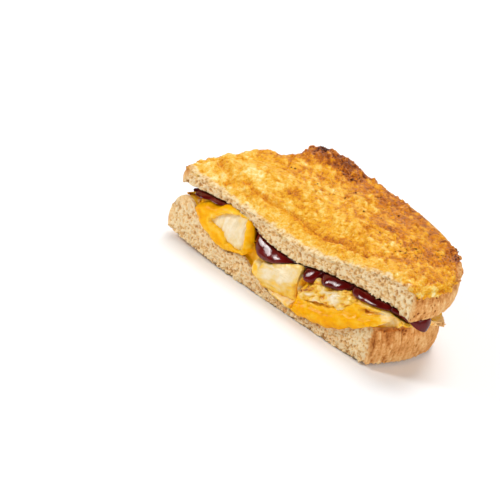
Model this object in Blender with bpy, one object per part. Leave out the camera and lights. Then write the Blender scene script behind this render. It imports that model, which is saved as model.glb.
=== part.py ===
"""Half of a toasted chicken melt, cut in two lengthways and lying flat.

Two slices of bread hold melted cheese, pieces of chicken and cranberry sauce, and a coat of
melted cheese covers the upper slice. X runs along the cut, the cut face looks towards -Y, the
crust curves round at +Y, and Z is up. Sizes are in millimetres until a mesh is made.
"""

import bpy
import numpy as np

MM = 0.001

# Crust of each slice seen from above, from its left end at the cut, round the back, to its right end.
BOTTOM_CRUST = [
    (-60.0, 0.0), (-61.0, 14.0), (-59.0, 31.0), (-54.0, 46.0), (-42.0, 55.0), (-20.0, 57.5),
    (4.0, 56.5), (23.0, 52.5), (37.0, 45.0), (45.5, 36.0), (49.5, 25.0), (50.0, 12.0), (48.0, 0.0),
]
TOP_CRUST = [
    (-57.0, 0.0), (-57.5, 18.0), (-54.5, 31.0), (-49.5, 38.0), (-45.0, 42.5), (-46.0, 48.5),
    (-43.5, 55.5), (-36.0, 58.5), (-20.0, 58.0), (-3.0, 57.0), (13.5, 53.8), (30.0, 48.2),
    (44.0, 39.6), (53.5, 30.0), (59.0, 20.0), (61.2, 10.0), (61.0, 0.0),
]
# The filling stops short of the crust, apart from a scrap of cheese and a drop of sauce at the right end.
CHEESE_CRUST = [
    (-53.0, 0.0), (-56.0, 15.0), (-54.5, 30.0), (-49.5, 43.0), (-39.0, 51.0), (-20.0, 53.5),
    (4.0, 52.5), (21.0, 48.5), (34.0, 41.5), (44.5, 33.5), (53.5, 26.0), (57.0, 20.0), (55.5, 14.0),
    (54.5, 8.0), (56.5, 0.0),
]
SAUCE_CRUST = [
    (-50.5, 0.0), (-52.0, 15.0), (-50.0, 30.0), (-43.0, 42.0), (-20.0, 49.0), (4.0, 48.0),
    (20.0, 44.0), (33.0, 37.0), (43.0, 28.5), (51.0, 20.0), (57.5, 14.5), (61.0, 10.5),
    (60.5, 6.5), (56.5, 3.0), (52.0, 0.0),
]

# Heights along the cut, as (distance along X, height) knots.
BOTTOM_SLICE_TOP = [
    (-60.0, 12.0), (-57.0, 15.9), (-53.0, 17.4), (-49.0, 16.7), (-44.0, 13.0), (-37.0, 9.9),
    (-29.0, 8.4), (-18.0, 10.2), (-12.0, 6.9), (-5.0, 4.7), (18.0, 4.4), (28.0, 6.6),
    (39.0, 11.4), (45.0, 14.6), (48.0, 14.9),
]
FILLING_TOP = [
    (-53.0, 19.9), (-48.0, 21.2), (-40.0, 22.2), (-30.0, 22.8), (-23.0, 22.3), (-19.0, 21.2),
    (-15.5, 16.4), (-12.0, 13.4), (-4.0, 13.8), (4.0, 17.4), (9.0, 18.0), (13.5, 15.9), (20.0, 18.0),
    (30.0, 20.6), (40.0, 22.2), (48.0, 23.2), (57.0, 22.2),
]
TOP_SLICE_UNDERSIDE = [
    (-57.0, 22.6), (-48.0, 23.4), (-39.0, 24.4), (-30.0, 24.9), (-23.0, 24.3), (-18.5, 23.3),
    (-14.5, 21.3), (-9.0, 20.3), (0.0, 19.7), (8.0, 20.1), (18.0, 22.2), (30.0, 24.2), (44.0, 25.3),
    (51.0, 25.8), (61.0, 23.8),
]
TOP_SLICE_TOP = [
    (-57.0, 29.0), (-48.0, 28.4), (-30.0, 27.5), (-12.0, 26.8), (2.0, 26.0), (10.0, 26.4),
    (20.0, 28.2), (35.0, 31.8), (48.0, 34.4), (61.0, 35.0),
]

# Heights away from the cut, which has pressed the bread down.
PRESSED_DEPTH = 22.0          # how far behind the cut the bread is still pressed
BOTTOM_SLICE_MIDDLE = 9.5     # top of the lower slice under the filling
BOTTOM_SLICE_RIM = 14.8       # top of the lower slice at its crust
FILLING_MIDDLE = 19.8
FILLING_RIM = 18.0
FILLING_RIGHT_LIFT = 2.0      # the filling follows the upper slice up at the right end
TOP_SLICE_UNDER_MIDDLE = 22.2
TOP_SLICE_UNDER_RIM = 20.2
TOP_SLICE_UNDER_RIGHT = 24.6  # the slices gape more at the right end
TOP_SLICE_MIDDLE = 34.6
LEFT_DROP = 3.6               # the upper slice is lower at its left end
LUMP_HEIGHT = 4.0             # raised, well browned corner at the back left
LUMP_PLACE = (-34.0, 50.0)
LUMP_REACH = (14.0, 9.0)
NOTCH_DEPTH = 3.8             # a dip in the crust beside the lump
NOTCH_PLACE = (-47.0, 42.5)
NOTCH_REACH = (3.5, 4.5)

# The lower slice rests on the table between these two, and its ends curl up.
FLAT_START = -18.0
FLAT_END = 32.0
LEFT_CURL = 3.2
RIGHT_CURL = 1.3

# Pieces that lie on each other keep a clearance, wider where both surfaces are strongly curved.
COAT_THICKNESS = 1.4
COAT_GAP = 0.35
UNDER_CHEESE_GAP = 0.85
UNDER_SAUCE_GAP = 0.85
OVER_SAUCE_GAP = 0.5
THINNEST_CHEESE = 1.5
THINNEST_SAUCE = 0.4
POCKET_GAP = 0.45
CHEESE_OVERHANG = 4.6         # how far the cheese lifts off the lower slice past its right end
SAUCE_DROP = 2.6              # how far a drop of sauce hangs down at the right end

# Rims and walls of the layers.
TOP_SHOULDER = 1.8            # rounding of the upper slice's rim
BOTTOM_SHOULDER = 0.8
SHOULDER_WIDTH = 3.0
CRUST_SWELL = 1.2             # a crust's wall stands out this far half way up
CHEESE_SWELL = 0.5
SAUCE_SWELL = 0.4
CHEESE_BOW = 3.2              # the filling bulges out of the cut face
SAUCE_BOW = 2.6

# The rings that make a layer close on a line in its middle.
CUT_FACETS = 30               # along the cut
END_FACETS = 8                # round each end, more than those that face the cut
RING_SHARES = (0.7, 0.45, 0.25)
LINE_MARGIN = 21.0            # the line stops this far inside each end
LINE_DEPTH_SHARE = 0.46       # how far back it lies, as a share of the depth

# Pieces of chicken, each an uneven block that runs back from the cut. Lift is how far it rises inside.
CHUNK_FRONT = -2.8
POCKET_FRONT = -9.0
CHUNK_SIDES = 20
CHUNK_TAPER = ((0.3, 0.95), (0.6, 0.85), (0.85, 0.7))
CHUNKS = {
    "chicken_1": dict(centre=(-28.2, 16.8), half_size=(8.4, 4.8), tilt=-2.0, length=24.0, lift=-1.2),
    "chicken_2": dict(centre=(1.4, 11.2), half_size=(9.2, 4.4), tilt=13.0, length=26.0, lift=4.0),
    "chicken_3": dict(centre=(24.0, 14.5), half_size=(11.4, 3.3), tilt=14.0, length=22.0, lift=1.8),
    "chicken_4": dict(centre=(45.0, 19.6), half_size=(5.4, 1.6), tilt=10.0, length=12.0, lift=-2.0),
}


def between(low, high, value):
    """0 below low, 1 above high, and a smooth S between them."""
    t = np.clip((value - low) / (high - low), 0.0, 1.0)
    return t * t * (3.0 - 2.0 * t)


def mix(first, second, share):
    """The first value where share is 0, the second where it is 1."""
    return first * (1.0 - share) + second * share


def knot_height(knots, x):
    """Height at x on the smooth cubic curve through the knots."""
    across, up = np.array(knots).T
    slope = np.gradient(up, across)
    x = np.clip(x, across[0], across[-1])
    index = np.clip(np.searchsorted(across, x) - 1, 0, len(across) - 2)
    span = across[index + 1] - across[index]
    t = (x - across[index]) / span
    start = (2 * t**3 - 3 * t**2 + 1) * up[index] + (t**3 - 2 * t**2 + t) * span * slope[index]
    end = (3 * t**2 - 2 * t**3) * up[index + 1] + (t**3 - t**2) * span * slope[index + 1]
    return start + end


def smooth_outline(knots, count):
    """count points, equally spaced along the smooth curve through the knots."""
    knots = np.array(knots)
    steps = 24
    place = np.arange((len(knots) - 1) * steps + 1) / steps
    slope = np.gradient(knots, axis=0)
    index = np.clip(place.astype(int), 0, len(knots) - 2)
    t = (place - index)[:, None]
    start = (2 * t**3 - 3 * t**2 + 1) * knots[index] + (t**3 - 2 * t**2 + t) * slope[index]
    end = (3 * t**2 - 2 * t**3) * knots[index + 1] + (t**3 - t**2) * slope[index + 1]
    curve = start + end
    run = np.concatenate([[0.0], np.cumsum(np.hypot(*np.diff(curve, axis=0).T))])
    even = np.linspace(0.0, run[-1], count)
    return np.column_stack([np.interp(even, run, curve[:, 0]), np.interp(even, run, curve[:, 1])])


def behind_cut(y):
    """0 at the cut, 1 where the bread is no longer pressed."""
    return between(0.0, PRESSED_DEPTH, y)


def near_crust(x, y):
    """0 in the middle of the sandwich, 1 at its crust, and 0 all along the cut."""
    middle, half_length, depth = -4.0, 56.0, 58.0
    reach = (np.abs((x - middle) / half_length) ** 3 + (np.maximum(y, 0.0) / depth) ** 3) ** (1 / 3)
    return between(0.72, 0.98, reach) * between(0.0, 12.0, y)


def table_side(x, _):
    """Underside of the lower slice: flat in the middle, with both ends curling up."""
    left = np.clip((FLAT_START - x) / (FLAT_START - BOTTOM_CRUST[0][0]), 0.0, None) ** 1.6
    right = np.clip((x - FLAT_END) / (BOTTOM_CRUST[-1][0] - FLAT_END), 0.0, None) ** 1.6
    return LEFT_CURL * left + RIGHT_CURL * right


def bottom_slice_top(x, y):
    """Top of the lower slice."""
    inner = mix(knot_height(BOTTOM_SLICE_TOP, x), BOTTOM_SLICE_MIDDLE, behind_cut(y))
    return mix(inner, BOTTOM_SLICE_RIM, near_crust(x, y))


def filling_top(x, y):
    """Top of the cheese and chicken."""
    inner = mix(knot_height(FILLING_TOP, x), FILLING_MIDDLE, behind_cut(y))
    lift = FILLING_RIGHT_LIFT * between(40.0, 52.0, x) * between(6.0, 16.0, y)
    return mix(inner, FILLING_RIM, near_crust(x, y)) + lift


def filling_underside(x, y):
    """Underside of the cheese: on the lower slice, and up again where it hangs over its end."""
    overhang = CHEESE_OVERHANG * between(46.0, 57.0, x)
    resting = bottom_slice_top(x, y) + UNDER_CHEESE_GAP + overhang
    return np.minimum(resting, filling_top(x, y) - THINNEST_CHEESE)


def top_slice_underside(x, y):
    """Underside of the upper slice."""
    inner = mix(knot_height(TOP_SLICE_UNDERSIDE, x), TOP_SLICE_UNDER_MIDDLE, behind_cut(y))
    right_end = between(22.0, 50.0, x)
    rim = mix(TOP_SLICE_UNDER_RIM, TOP_SLICE_UNDER_RIGHT, right_end)
    inner = mix(inner, TOP_SLICE_UNDER_RIGHT, right_end * behind_cut(y))
    return mix(inner, rim, near_crust(x, y))


def top_slice_top(x, y):
    """Top of the upper slice, with the lump at its back left corner and the notch beside it."""
    far = TOP_SLICE_MIDDLE - LEFT_DROP * between(-28.0, -57.0, x) * between(38.0, 20.0, y)
    off_lump = ((x - LUMP_PLACE[0]) / LUMP_REACH[0]) ** 2 + ((y - LUMP_PLACE[1]) / LUMP_REACH[1]) ** 2
    off_notch = ((x - NOTCH_PLACE[0]) / NOTCH_REACH[0]) ** 2 + ((y - NOTCH_PLACE[1]) / NOTCH_REACH[1]) ** 2
    lump = LUMP_HEIGHT * np.exp(-off_lump) * between(-50.0, -43.0, x)
    notch = NOTCH_DEPTH * np.exp(-off_notch)
    return mix(knot_height(TOP_SLICE_TOP, x), far, behind_cut(y)) + lump - notch


def sauce_underside(x, y):
    """Underside of the sauce: on the filling, with a drop hanging at the right end."""
    drop = SAUCE_DROP * between(57.0, 59.5, x) * between(14.0, 10.0, y)
    return filling_top(x, y) + UNDER_SAUCE_GAP - drop


def sauce_top(x, y):
    """Top of the sauce, just under the upper slice."""
    highest = top_slice_underside(x, y) - OVER_SAUCE_GAP
    return np.maximum(highest, sauce_underside(x, y) + THINNEST_SAUCE)


def coat_underside(x, y):
    """Underside of the melted cheese on the upper slice."""
    return top_slice_top(x, y) + COAT_GAP


def coat_top(x, y):
    """Top of the melted cheese on the upper slice."""
    return coat_underside(x, y) + COAT_THICKNESS


def cut_line(left, right, bow):
    """Points along the cut from left to right, bowed out of the cut face."""
    share = np.linspace(0.0, 1.0, CUT_FACETS + 1)
    x = mix(left, right, share)
    y = -bow * np.sin(np.pi * share) ** 0.5
    return np.column_stack([x, y])


def outward(loop):
    """Unit normals of a loop that runs anticlockwise seen from above."""
    along = np.roll(loop, -1, axis=0) - np.roll(loop, 1, axis=0)
    normal = np.column_stack([along[:, 1], -along[:, 0]])
    return normal / np.linalg.norm(normal, axis=1)[:, None]


def add_object(name, points, faces, material):
    """A mesh object from points in millimetres."""
    mesh = bpy.data.meshes.new(name)
    corners = [[int(corner) for corner in face] for face in faces]
    mesh.from_pydata((points * MM).tolist(), [], corners)
    mesh.materials.append(material)
    mesh.update()
    piece = bpy.data.objects.new(name, mesh)
    bpy.context.collection.objects.link(piece)
    mesh.shade_smooth()
    mesh.set_sharp_from_angle(angle=np.radians(40.0))
    return piece


def add_layer(name, material, crust, underside, top, bow=0.0, swell=0.0, shoulder=0.0, wall_rows=3):
    """A layer between two height functions, inside the outline of its cut and its crust.

    Rings follow the outline: from a line in the middle of the underside, out to the edge, up the
    wall, and back over the top to the same line. Each ring point looks at one point of that line:
    the points along the cut pair with it one by one, and those round an end share its end point.
    """
    back = smooth_outline(crust, CUT_FACETS + 2 * END_FACETS + 1)
    front = cut_line(back[0, 0], back[-1, 0], bow)
    loop = np.vstack([front, back[-2:0:-1]])
    count = len(loop)
    step = np.arange(count)
    following = (step + 1) % count
    facing = np.clip(count - step - END_FACETS, 0, CUT_FACETS)
    facing = np.where(step <= CUT_FACETS, step, facing)
    line_x = np.linspace(back[0, 0] + LINE_MARGIN, back[-1, 0] - LINE_MARGIN, CUT_FACETS + 1)
    line = np.column_stack([line_x, np.full(CUT_FACETS + 1, LINE_DEPTH_SHARE * back[:, 1].max())])
    at_crust = (step > CUT_FACETS).astype(float)
    reach = np.linalg.norm(line[facing] - loop, axis=1)
    normal = outward(loop)

    def ring(inset, level, swelling=0.0, drop=0.0):
        plan = mix(loop, line[facing], (inset / reach)[:, None])
        height = level(plan[:, 0], plan[:, 1]) - drop * at_crust
        return np.column_stack([plan + normal * (swelling * at_crust)[:, None], height])

    def wall(share):
        swelling = swell * np.sin(np.pi * share)
        return mix(ring(0.0, underside, swelling), ring(0.0, top, swelling, shoulder), share)

    insets = [share * reach for share in RING_SHARES] + [np.minimum(SHOULDER_WIDTH, 0.14 * reach)]
    rings = [ring(inset, underside) for inset in insets]
    rings += [wall(share) for share in np.linspace(0.0, 1.0, wall_rows)]
    rings += [ring(inset, top) for inset in reversed(insets)]
    lines = [np.column_stack([line, level(line[:, 0], line[:, 1])]) for level in (underside, top)]

    faces = []
    for low in range(0, (len(rings) - 1) * count, count):
        high = low + count
        faces += zip(low + step, low + following, high + following)
        faces += zip(low + step, high + following, high + step)
    last = (len(rings) - 1) * count
    low_line = len(rings) * count
    high_line = low_line + CUT_FACETS + 1
    for here, there in zip(step, following):
        faces.append((low_line + facing[here], there, here))
        faces.append((high_line + facing[here], last + here, last + there))
        if facing[here] != facing[there]:
            faces.append((low_line + facing[here], low_line + facing[there], there))
            faces.append((high_line + facing[here], last + there, high_line + facing[there]))
    return add_object(name, np.vstack(rings + lines), faces, material)


def chunk_points(centre, half_size, tilt, length, lift, grow, start):
    """Rings of an uneven round-edged block that runs back from the cut and rises with the bread."""
    turn = np.linspace(0.0, 2.0 * np.pi, CHUNK_SIDES, endpoint=False)
    phase = centre[0]
    uneven = 1.0 + 0.06 * np.cos(3.0 * turn + phase) + 0.04 * np.cos(5.0 * turn - phase)
    across = np.sign(np.cos(turn)) * np.abs(np.cos(turn)) ** 0.62 * half_size[0] * uneven
    up = np.sign(np.sin(turn)) * np.abs(np.sin(turn)) ** 0.62 * half_size[1] * uneven
    slope = np.radians(tilt)
    stations = [(start, 0.95), (1.0, 1.0)]
    stations += [(share * length, scale) for share, scale in CHUNK_TAPER]
    stations.append((length + grow, 0.4))
    rings = []
    for place, scale in stations:
        wide = across * scale + grow * np.cos(turn)
        high = up * scale + grow * np.sin(turn)
        y = np.full(CHUNK_SIDES, place)
        x = centre[0] + wide * np.cos(slope) - high * np.sin(slope)
        z = centre[1] + wide * np.sin(slope) + high * np.cos(slope) + lift * behind_cut(y)
        rings.append(np.column_stack([x, y, z]))
    return rings


def add_chunk(name, material, shape, grow=0.0, start=CHUNK_FRONT):
    """One piece of chicken, or with grow the pocket that it leaves in the cheese."""
    rings = chunk_points(**shape, grow=grow, start=start)
    points = np.vstack(rings + [rings[0].mean(axis=0), rings[-1].mean(axis=0)])
    step = np.arange(CHUNK_SIDES)
    following = (step + 1) % CHUNK_SIDES
    last = (len(rings) - 1) * CHUNK_SIDES
    faces = []
    for low in range(0, last, CHUNK_SIDES):
        high = low + CHUNK_SIDES
        faces += zip(low + step, high + step, high + following, low + following)
    front = last + CHUNK_SIDES
    back = front + 1
    for here, there in zip(step, following):
        faces.append((front, here, there))
        faces.append((back, last + there, last + here))
    return add_object(name, points, faces, material)


def cut_pocket(cheese, pocket):
    """Takes the pocket's shape out of the cheese."""
    cutter = cheese.modifiers.new(pocket.name, "BOOLEAN")
    cutter.operation = "DIFFERENCE"
    cutter.solver = "EXACT"
    cutter.object = pocket
    pocket.hide_render = True
    pocket.display_type = "WIRE"


def food_material(name, colour, roughness):
    """A plain food surface."""
    material = bpy.data.materials.new(name)
    material.use_nodes = True
    shader = material.node_tree.nodes["Principled BSDF"]
    shader.inputs["Base Color"].default_value = (*colour, 1.0)
    shader.inputs["Roughness"].default_value = roughness
    return material


def centre_on_base(pieces):
    """Moves every mesh so that the origin is the middle of the base of the box round them all."""
    points = np.array([corner for piece in pieces for corner in piece.bound_box])
    low, high = points.min(axis=0), points.max(axis=0)
    shift = np.array([(low[0] + high[0]) / 2, (low[1] + high[1]) / 2, low[2]])
    for piece in bpy.data.objects:
        for vertex in piece.data.vertices:
            vertex.co = np.array(vertex.co) - shift


def main():
    for leftover in list(bpy.data.objects):
        bpy.data.objects.remove(leftover)

    toast = food_material("toasted bread", (0.62, 0.40, 0.20), 0.85)
    grilled = food_material("grilled cheese", (0.80, 0.44, 0.08), 0.45)
    melted = food_material("melted cheese", (0.90, 0.50, 0.04), 0.30)
    meat = food_material("cooked chicken", (0.86, 0.72, 0.45), 0.50)
    cranberry = food_material("cranberry sauce", (0.10, 0.01, 0.015), 0.12)

    lower = add_layer("bread_bottom", toast, BOTTOM_CRUST, table_side, bottom_slice_top,
                      swell=CRUST_SWELL, shoulder=BOTTOM_SHOULDER)
    upper = add_layer("bread_top", toast, TOP_CRUST, top_slice_underside, top_slice_top,
                      swell=CRUST_SWELL, shoulder=TOP_SHOULDER)
    coat = add_layer("cheese_topping", grilled, TOP_CRUST, coat_underside, coat_top, wall_rows=2)
    cheese = add_layer("cheese_filling", melted, CHEESE_CRUST, filling_underside, filling_top,
                       bow=CHEESE_BOW, swell=CHEESE_SWELL)
    spread = add_layer("cranberry_sauce", cranberry, SAUCE_CRUST, sauce_underside, sauce_top,
                       bow=SAUCE_BOW, swell=SAUCE_SWELL)
    pieces = [lower, upper, coat, cheese, spread]
    for name, shape in CHUNKS.items():
        pieces.append(add_chunk(name, meat, shape))
        pocket = add_chunk("pocket_" + name, meat, shape, grow=POCKET_GAP, start=POCKET_FRONT)
        cut_pocket(cheese, pocket)
    centre_on_base(pieces)


main()
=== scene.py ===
# %% [markdown]
# # Half of a toasted chicken melt
# Two slices of tin loaf hold melted cheese, pieces of chicken and cranberry sauce. The sandwich was
# grilled with cheese on its upper slice and then cut in two lengthways. This half lies flat: X runs along
# the cut, the cut face looks towards -Y, the crust curves round at +Y and Z is up.
# Food has no straight edges, so each layer could be sculpted by hand. Here every surface is a formula
# instead: a smooth body between two heights, then bubbles, fibres, blisters and drips added to it.

from types import SimpleNamespace

import bpy
import numpy as np
from mathutils import Matrix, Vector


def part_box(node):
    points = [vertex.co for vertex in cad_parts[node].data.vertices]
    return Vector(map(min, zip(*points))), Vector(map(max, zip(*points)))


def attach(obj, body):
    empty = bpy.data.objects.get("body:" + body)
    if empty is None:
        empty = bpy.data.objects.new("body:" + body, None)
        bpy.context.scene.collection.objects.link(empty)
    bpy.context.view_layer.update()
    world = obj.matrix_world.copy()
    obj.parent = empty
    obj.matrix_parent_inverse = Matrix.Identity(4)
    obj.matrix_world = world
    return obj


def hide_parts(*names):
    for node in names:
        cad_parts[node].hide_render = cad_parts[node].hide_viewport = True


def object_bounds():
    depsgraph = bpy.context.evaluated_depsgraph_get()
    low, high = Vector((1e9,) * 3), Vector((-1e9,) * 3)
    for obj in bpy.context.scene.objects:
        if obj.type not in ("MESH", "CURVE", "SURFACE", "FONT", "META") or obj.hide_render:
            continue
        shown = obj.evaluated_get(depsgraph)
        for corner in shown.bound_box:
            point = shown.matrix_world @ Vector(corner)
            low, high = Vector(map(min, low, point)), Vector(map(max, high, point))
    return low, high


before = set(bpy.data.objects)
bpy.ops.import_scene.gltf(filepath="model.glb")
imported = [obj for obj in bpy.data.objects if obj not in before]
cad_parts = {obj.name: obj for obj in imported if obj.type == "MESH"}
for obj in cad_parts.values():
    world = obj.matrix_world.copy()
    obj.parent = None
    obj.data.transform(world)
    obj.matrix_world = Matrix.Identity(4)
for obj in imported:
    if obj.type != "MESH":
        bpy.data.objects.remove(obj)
cad_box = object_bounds()
MM = 0.001
print("CAD box in mm:", [[round(side / MM, 1) for side in corner] for corner in cad_box])

# %% [markdown]
# ## Heights and outlines of the layers
# The layers keep the form of the solid model, so its outlines and heights are repeated here. An outline
# is a smooth curve through a few knots, from the left end of the cut, round the crust, to the right end.
# A height is a smooth curve along the cut that gives way to a level further back, because the knife
# pressed the bread down only near the cut.

# %% Smooth steps and curves
def between(low, high, value):
    """0 below low, 1 above high, and a smooth S between them."""
    t = np.clip((value - low) / (high - low), 0.0, 1.0)
    return t * t * (3.0 - 2.0 * t)


def mix(first, second, share):
    """The first value where share is 0, the second where it is 1."""
    return first * (1.0 - share) + second * share


def smooth_piece(t, start, end, start_slope, end_slope):
    """The cubic from start to end, as t goes from 0 to 1, that leaves and arrives with the given slopes."""
    leaving = (2 * t**3 - 3 * t**2 + 1) * start + (t**3 - 2 * t**2 + t) * start_slope
    arriving = (3 * t**2 - 2 * t**3) * end + (t**3 - t**2) * end_slope
    return leaving + arriving


def knot_height(knots, x):
    """Height at x on the smooth cubic curve through the knots."""
    across, up = np.array(knots).T
    slope = np.gradient(up, across)
    x = np.clip(x, across[0], across[-1])
    index = np.clip(np.searchsorted(across, x) - 1, 0, len(across) - 2)
    span = across[index + 1] - across[index]
    t = (x - across[index]) / span
    return smooth_piece(t, up[index], up[index + 1], span * slope[index], span * slope[index + 1])


def smooth_outline(knots, count):
    """count points, equally spaced along the smooth curve through the knots."""
    knots = np.array(knots)
    steps = 40
    place = np.arange((len(knots) - 1) * steps + 1) / steps
    slope = np.gradient(knots, axis=0)
    index = np.clip(place.astype(int), 0, len(knots) - 2)
    t = (place - index)[:, None]
    curve = smooth_piece(t, knots[index], knots[index + 1], slope[index], slope[index + 1])
    run = np.concatenate([[0.0], np.cumsum(np.hypot(*np.diff(curve, axis=0).T))])
    even = np.linspace(0.0, run[-1], count)
    return np.column_stack([np.interp(even, run, curve[:, 0]), np.interp(even, run, curve[:, 1])])


# %% Outlines, seen from above, in mm
LOWER_CRUST = [
    (-60.0, 0.0), (-61.0, 14.0), (-59.0, 31.0), (-54.0, 46.0), (-42.0, 55.0), (-20.0, 57.5),
    (4.0, 56.5), (23.0, 52.5), (37.0, 45.0), (45.5, 36.0), (49.5, 25.0), (50.0, 12.0), (48.0, 0.0),
]
UPPER_CRUST = [
    (-57.0, 0.0), (-57.5, 18.0), (-54.5, 31.0), (-49.5, 38.0), (-45.0, 42.5), (-46.0, 48.5),
    (-43.5, 55.5), (-36.0, 58.5), (-20.0, 58.0), (-3.0, 57.0), (13.5, 53.8), (30.0, 48.2),
    (44.0, 39.6), (53.5, 30.0), (59.0, 20.0), (61.2, 10.0), (61.0, 0.0),
]
CHEESE_EDGE = [
    (-53.0, 0.0), (-56.0, 15.0), (-54.5, 30.0), (-49.5, 43.0), (-39.0, 51.0), (-20.0, 53.5),
    (4.0, 52.5), (21.0, 48.5), (34.0, 41.5), (44.5, 33.5), (53.5, 26.0), (57.0, 20.0), (55.5, 14.0),
    (54.5, 8.0), (56.5, 0.0),
]
SAUCE_EDGE = [
    (-50.5, 0.0), (-52.0, 15.0), (-50.0, 30.0), (-43.0, 42.0), (-20.0, 49.0), (4.0, 48.0),
    (20.0, 44.0), (33.0, 37.0), (43.0, 28.5), (51.0, 20.0), (57.5, 14.5), (61.0, 10.5),
    (60.5, 6.5), (56.5, 3.0), (52.0, 0.0),
]

for title, outline in (("lower slice", LOWER_CRUST), ("upper slice", UPPER_CRUST)):
    print(title, outline[-1][0] - outline[0][0], "mm along the cut")

# %% Heights along the cut, in mm
LOWER_TOP = [
    (-60.0, 12.4), (-57.0, 16.8), (-53.0, 18.8), (-49.0, 17.8), (-44.0, 13.2), (-37.0, 9.9),
    (-29.0, 8.4), (-18.0, 10.2), (-12.0, 6.9), (-5.0, 4.7), (18.0, 4.4), (28.0, 6.6), (39.0, 11.4),
    (45.0, 14.6), (48.0, 14.9),
]
FILLING_TOP = [
    (-53.0, 19.9), (-48.0, 21.2), (-40.0, 22.2), (-30.0, 22.8), (-23.0, 22.3), (-19.0, 21.2),
    (-15.5, 16.4), (-12.0, 13.4), (-4.0, 13.8), (4.0, 17.4), (9.0, 18.0), (13.5, 15.9), (20.0, 18.0),
    (30.0, 20.6), (40.0, 22.2), (48.0, 23.2), (57.0, 22.2),
]
UPPER_UNDERSIDE = [
    (-57.0, 22.6), (-48.0, 23.4), (-39.0, 24.4), (-30.0, 24.9), (-23.0, 24.3), (-18.5, 23.3),
    (-14.5, 21.3), (-9.0, 20.3), (0.0, 19.7), (8.0, 20.1), (18.0, 22.2), (30.0, 24.2), (44.0, 25.3),
    (51.0, 25.8), (61.0, 23.8),
]
UPPER_TOP = [
    (-57.0, 29.0), (-48.0, 28.4), (-30.0, 27.5), (-12.0, 26.8), (2.0, 26.0), (10.0, 26.4),
    (20.0, 28.2), (35.0, 31.8), (48.0, 34.4), (61.0, 35.0),
]


# %% Heights over the whole sandwich
PRESSED_DEPTH = 22.0    # how far behind the cut the knife pressed the layers, in mm


def behind_cut(y):
    """0 at the cut, 1 where the layers are no longer pressed."""
    return between(0.0, PRESSED_DEPTH, y)


def near_crust(x, y):
    """0 in the middle of the sandwich, 1 at its crust, and 0 all along the cut."""
    # A rounded box round the point (-4, 0): 56 mm to each side and 58 mm back.
    reach = (np.abs((x + 4.0) / 56.0) ** 3 + (np.maximum(y, 0.0) / 58.0) ** 3) ** (1 / 3)
    return between(0.72, 0.98, reach) * between(0.0, 12.0, y)


def table_side(x, _):
    """Underside of the lower slice: flat in the middle, with both ends curling up."""
    left = np.clip((-18.0 - x) / 42.0, 0.0, None) ** 1.6
    right = np.clip((x - 32.0) / 16.0, 0.0, None) ** 1.6
    return 3.2 * left + 1.3 * right


def lower_top(x, y):
    """Top of the lower slice."""
    inner = mix(knot_height(LOWER_TOP, x), 9.5, behind_cut(y))
    return mix(inner, 14.8, near_crust(x, y))


def filling_top(x, y):
    """Top of the cheese and chicken."""
    inner = mix(knot_height(FILLING_TOP, x), 19.8, behind_cut(y))
    lift = 2.0 * between(40.0, 52.0, x) * between(6.0, 16.0, y)
    return mix(inner, 18.0, near_crust(x, y)) + lift


def filling_underside(x, y):
    """Underside of the cheese: on the lower slice, and up again where it hangs over its end."""
    resting = lower_top(x, y) + 0.3 + 4.6 * between(46.0, 57.0, x)
    return np.minimum(resting, filling_top(x, y) - 1.5 + 0.9 * between(-47.0, -51.0, x))


def upper_underside(x, y):
    """Underside of the upper slice."""
    inner = mix(knot_height(UPPER_UNDERSIDE, x), 22.2, behind_cut(y))
    right_end = between(22.0, 50.0, x)
    inner = mix(inner, 24.6, right_end * behind_cut(y))
    return mix(inner, mix(20.2, 24.6, right_end), near_crust(x, y))


def upper_top(x, y):
    """Top of the upper slice, with a lump at its back left corner."""
    far = 34.6 - 3.6 * between(-28.0, -57.0, x) * between(38.0, 20.0, y)
    lump = 4.0 * np.exp(-(((x + 34.0) / 14.0) ** 2 + ((y - 50.0) / 9.0) ** 2))
    lump = lump * between(-50.0, -43.0, x)
    notch = 3.8 * np.exp(-(((x + 47.0) / 3.5) ** 2 + ((y - 42.5) / 4.5) ** 2))
    return mix(knot_height(UPPER_TOP, x), far, behind_cut(y)) + lump - notch


def sauce_underside(x, y):
    """Underside of the sauce: on the filling, with a drop hanging at the right end."""
    drop = 0.5 * between(57.5, 60.0, x) * between(13.0, 9.0, y)
    return filling_top(x, y) + 0.85 - drop


def sauce_top(x, y):
    """Top of the sauce, just under the upper slice."""
    return np.maximum(upper_underside(x, y) - 0.5, sauce_underside(x, y) + 0.4)


# %% Place in the frame
outline_left = smooth_outline(UPPER_CRUST, 800)[:, 0].min()
coat_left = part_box("cheese_topping")[0][0] / MM
cut_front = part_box("bread_top")[0][1] / MM
TO_FRAME = np.array([coat_left - outline_left, cut_front, 0.0])
ROOM = np.array([[side / MM for side in corner] for corner in cad_box]) - TO_FRAME    # no point leaves it
print("the cut's middle lies at", TO_FRAME.round(3), "mm in the frame")

# %% [markdown]
# ## Unevenness from formulas
# Real crumb, crust and melted cheese are uneven at several scales at once. A modelling program could
# paint this with textures and displacement, but the shape is wanted in the mesh itself. So the noise is
# worked out here for every point. Soft noise gives swells and mottling, and a crowd of random spheres
# gives the bubbles that a knife cuts open in bread.


# %% Noise
def scramble(cell, seed):
    """A random number from 0 to 1 for each whole-numbered cell: its three numbers hashed together."""
    a, b, c = (cell[..., axis].astype(np.int64) for axis in range(3))
    h = (a * 73856093) ^ (b * 19349663) ^ (c * 83492791) ^ (seed * 2654435761)
    h = (h ^ (h >> 13)) * 1274126177 & 0xFFFFFFFF
    h = (h ^ (h >> 16)) * 2246822519 & 0xFFFFFFFF
    return ((h ^ (h >> 13)) & 0xFFFFFF) / float(0xFFFFFF)


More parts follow.
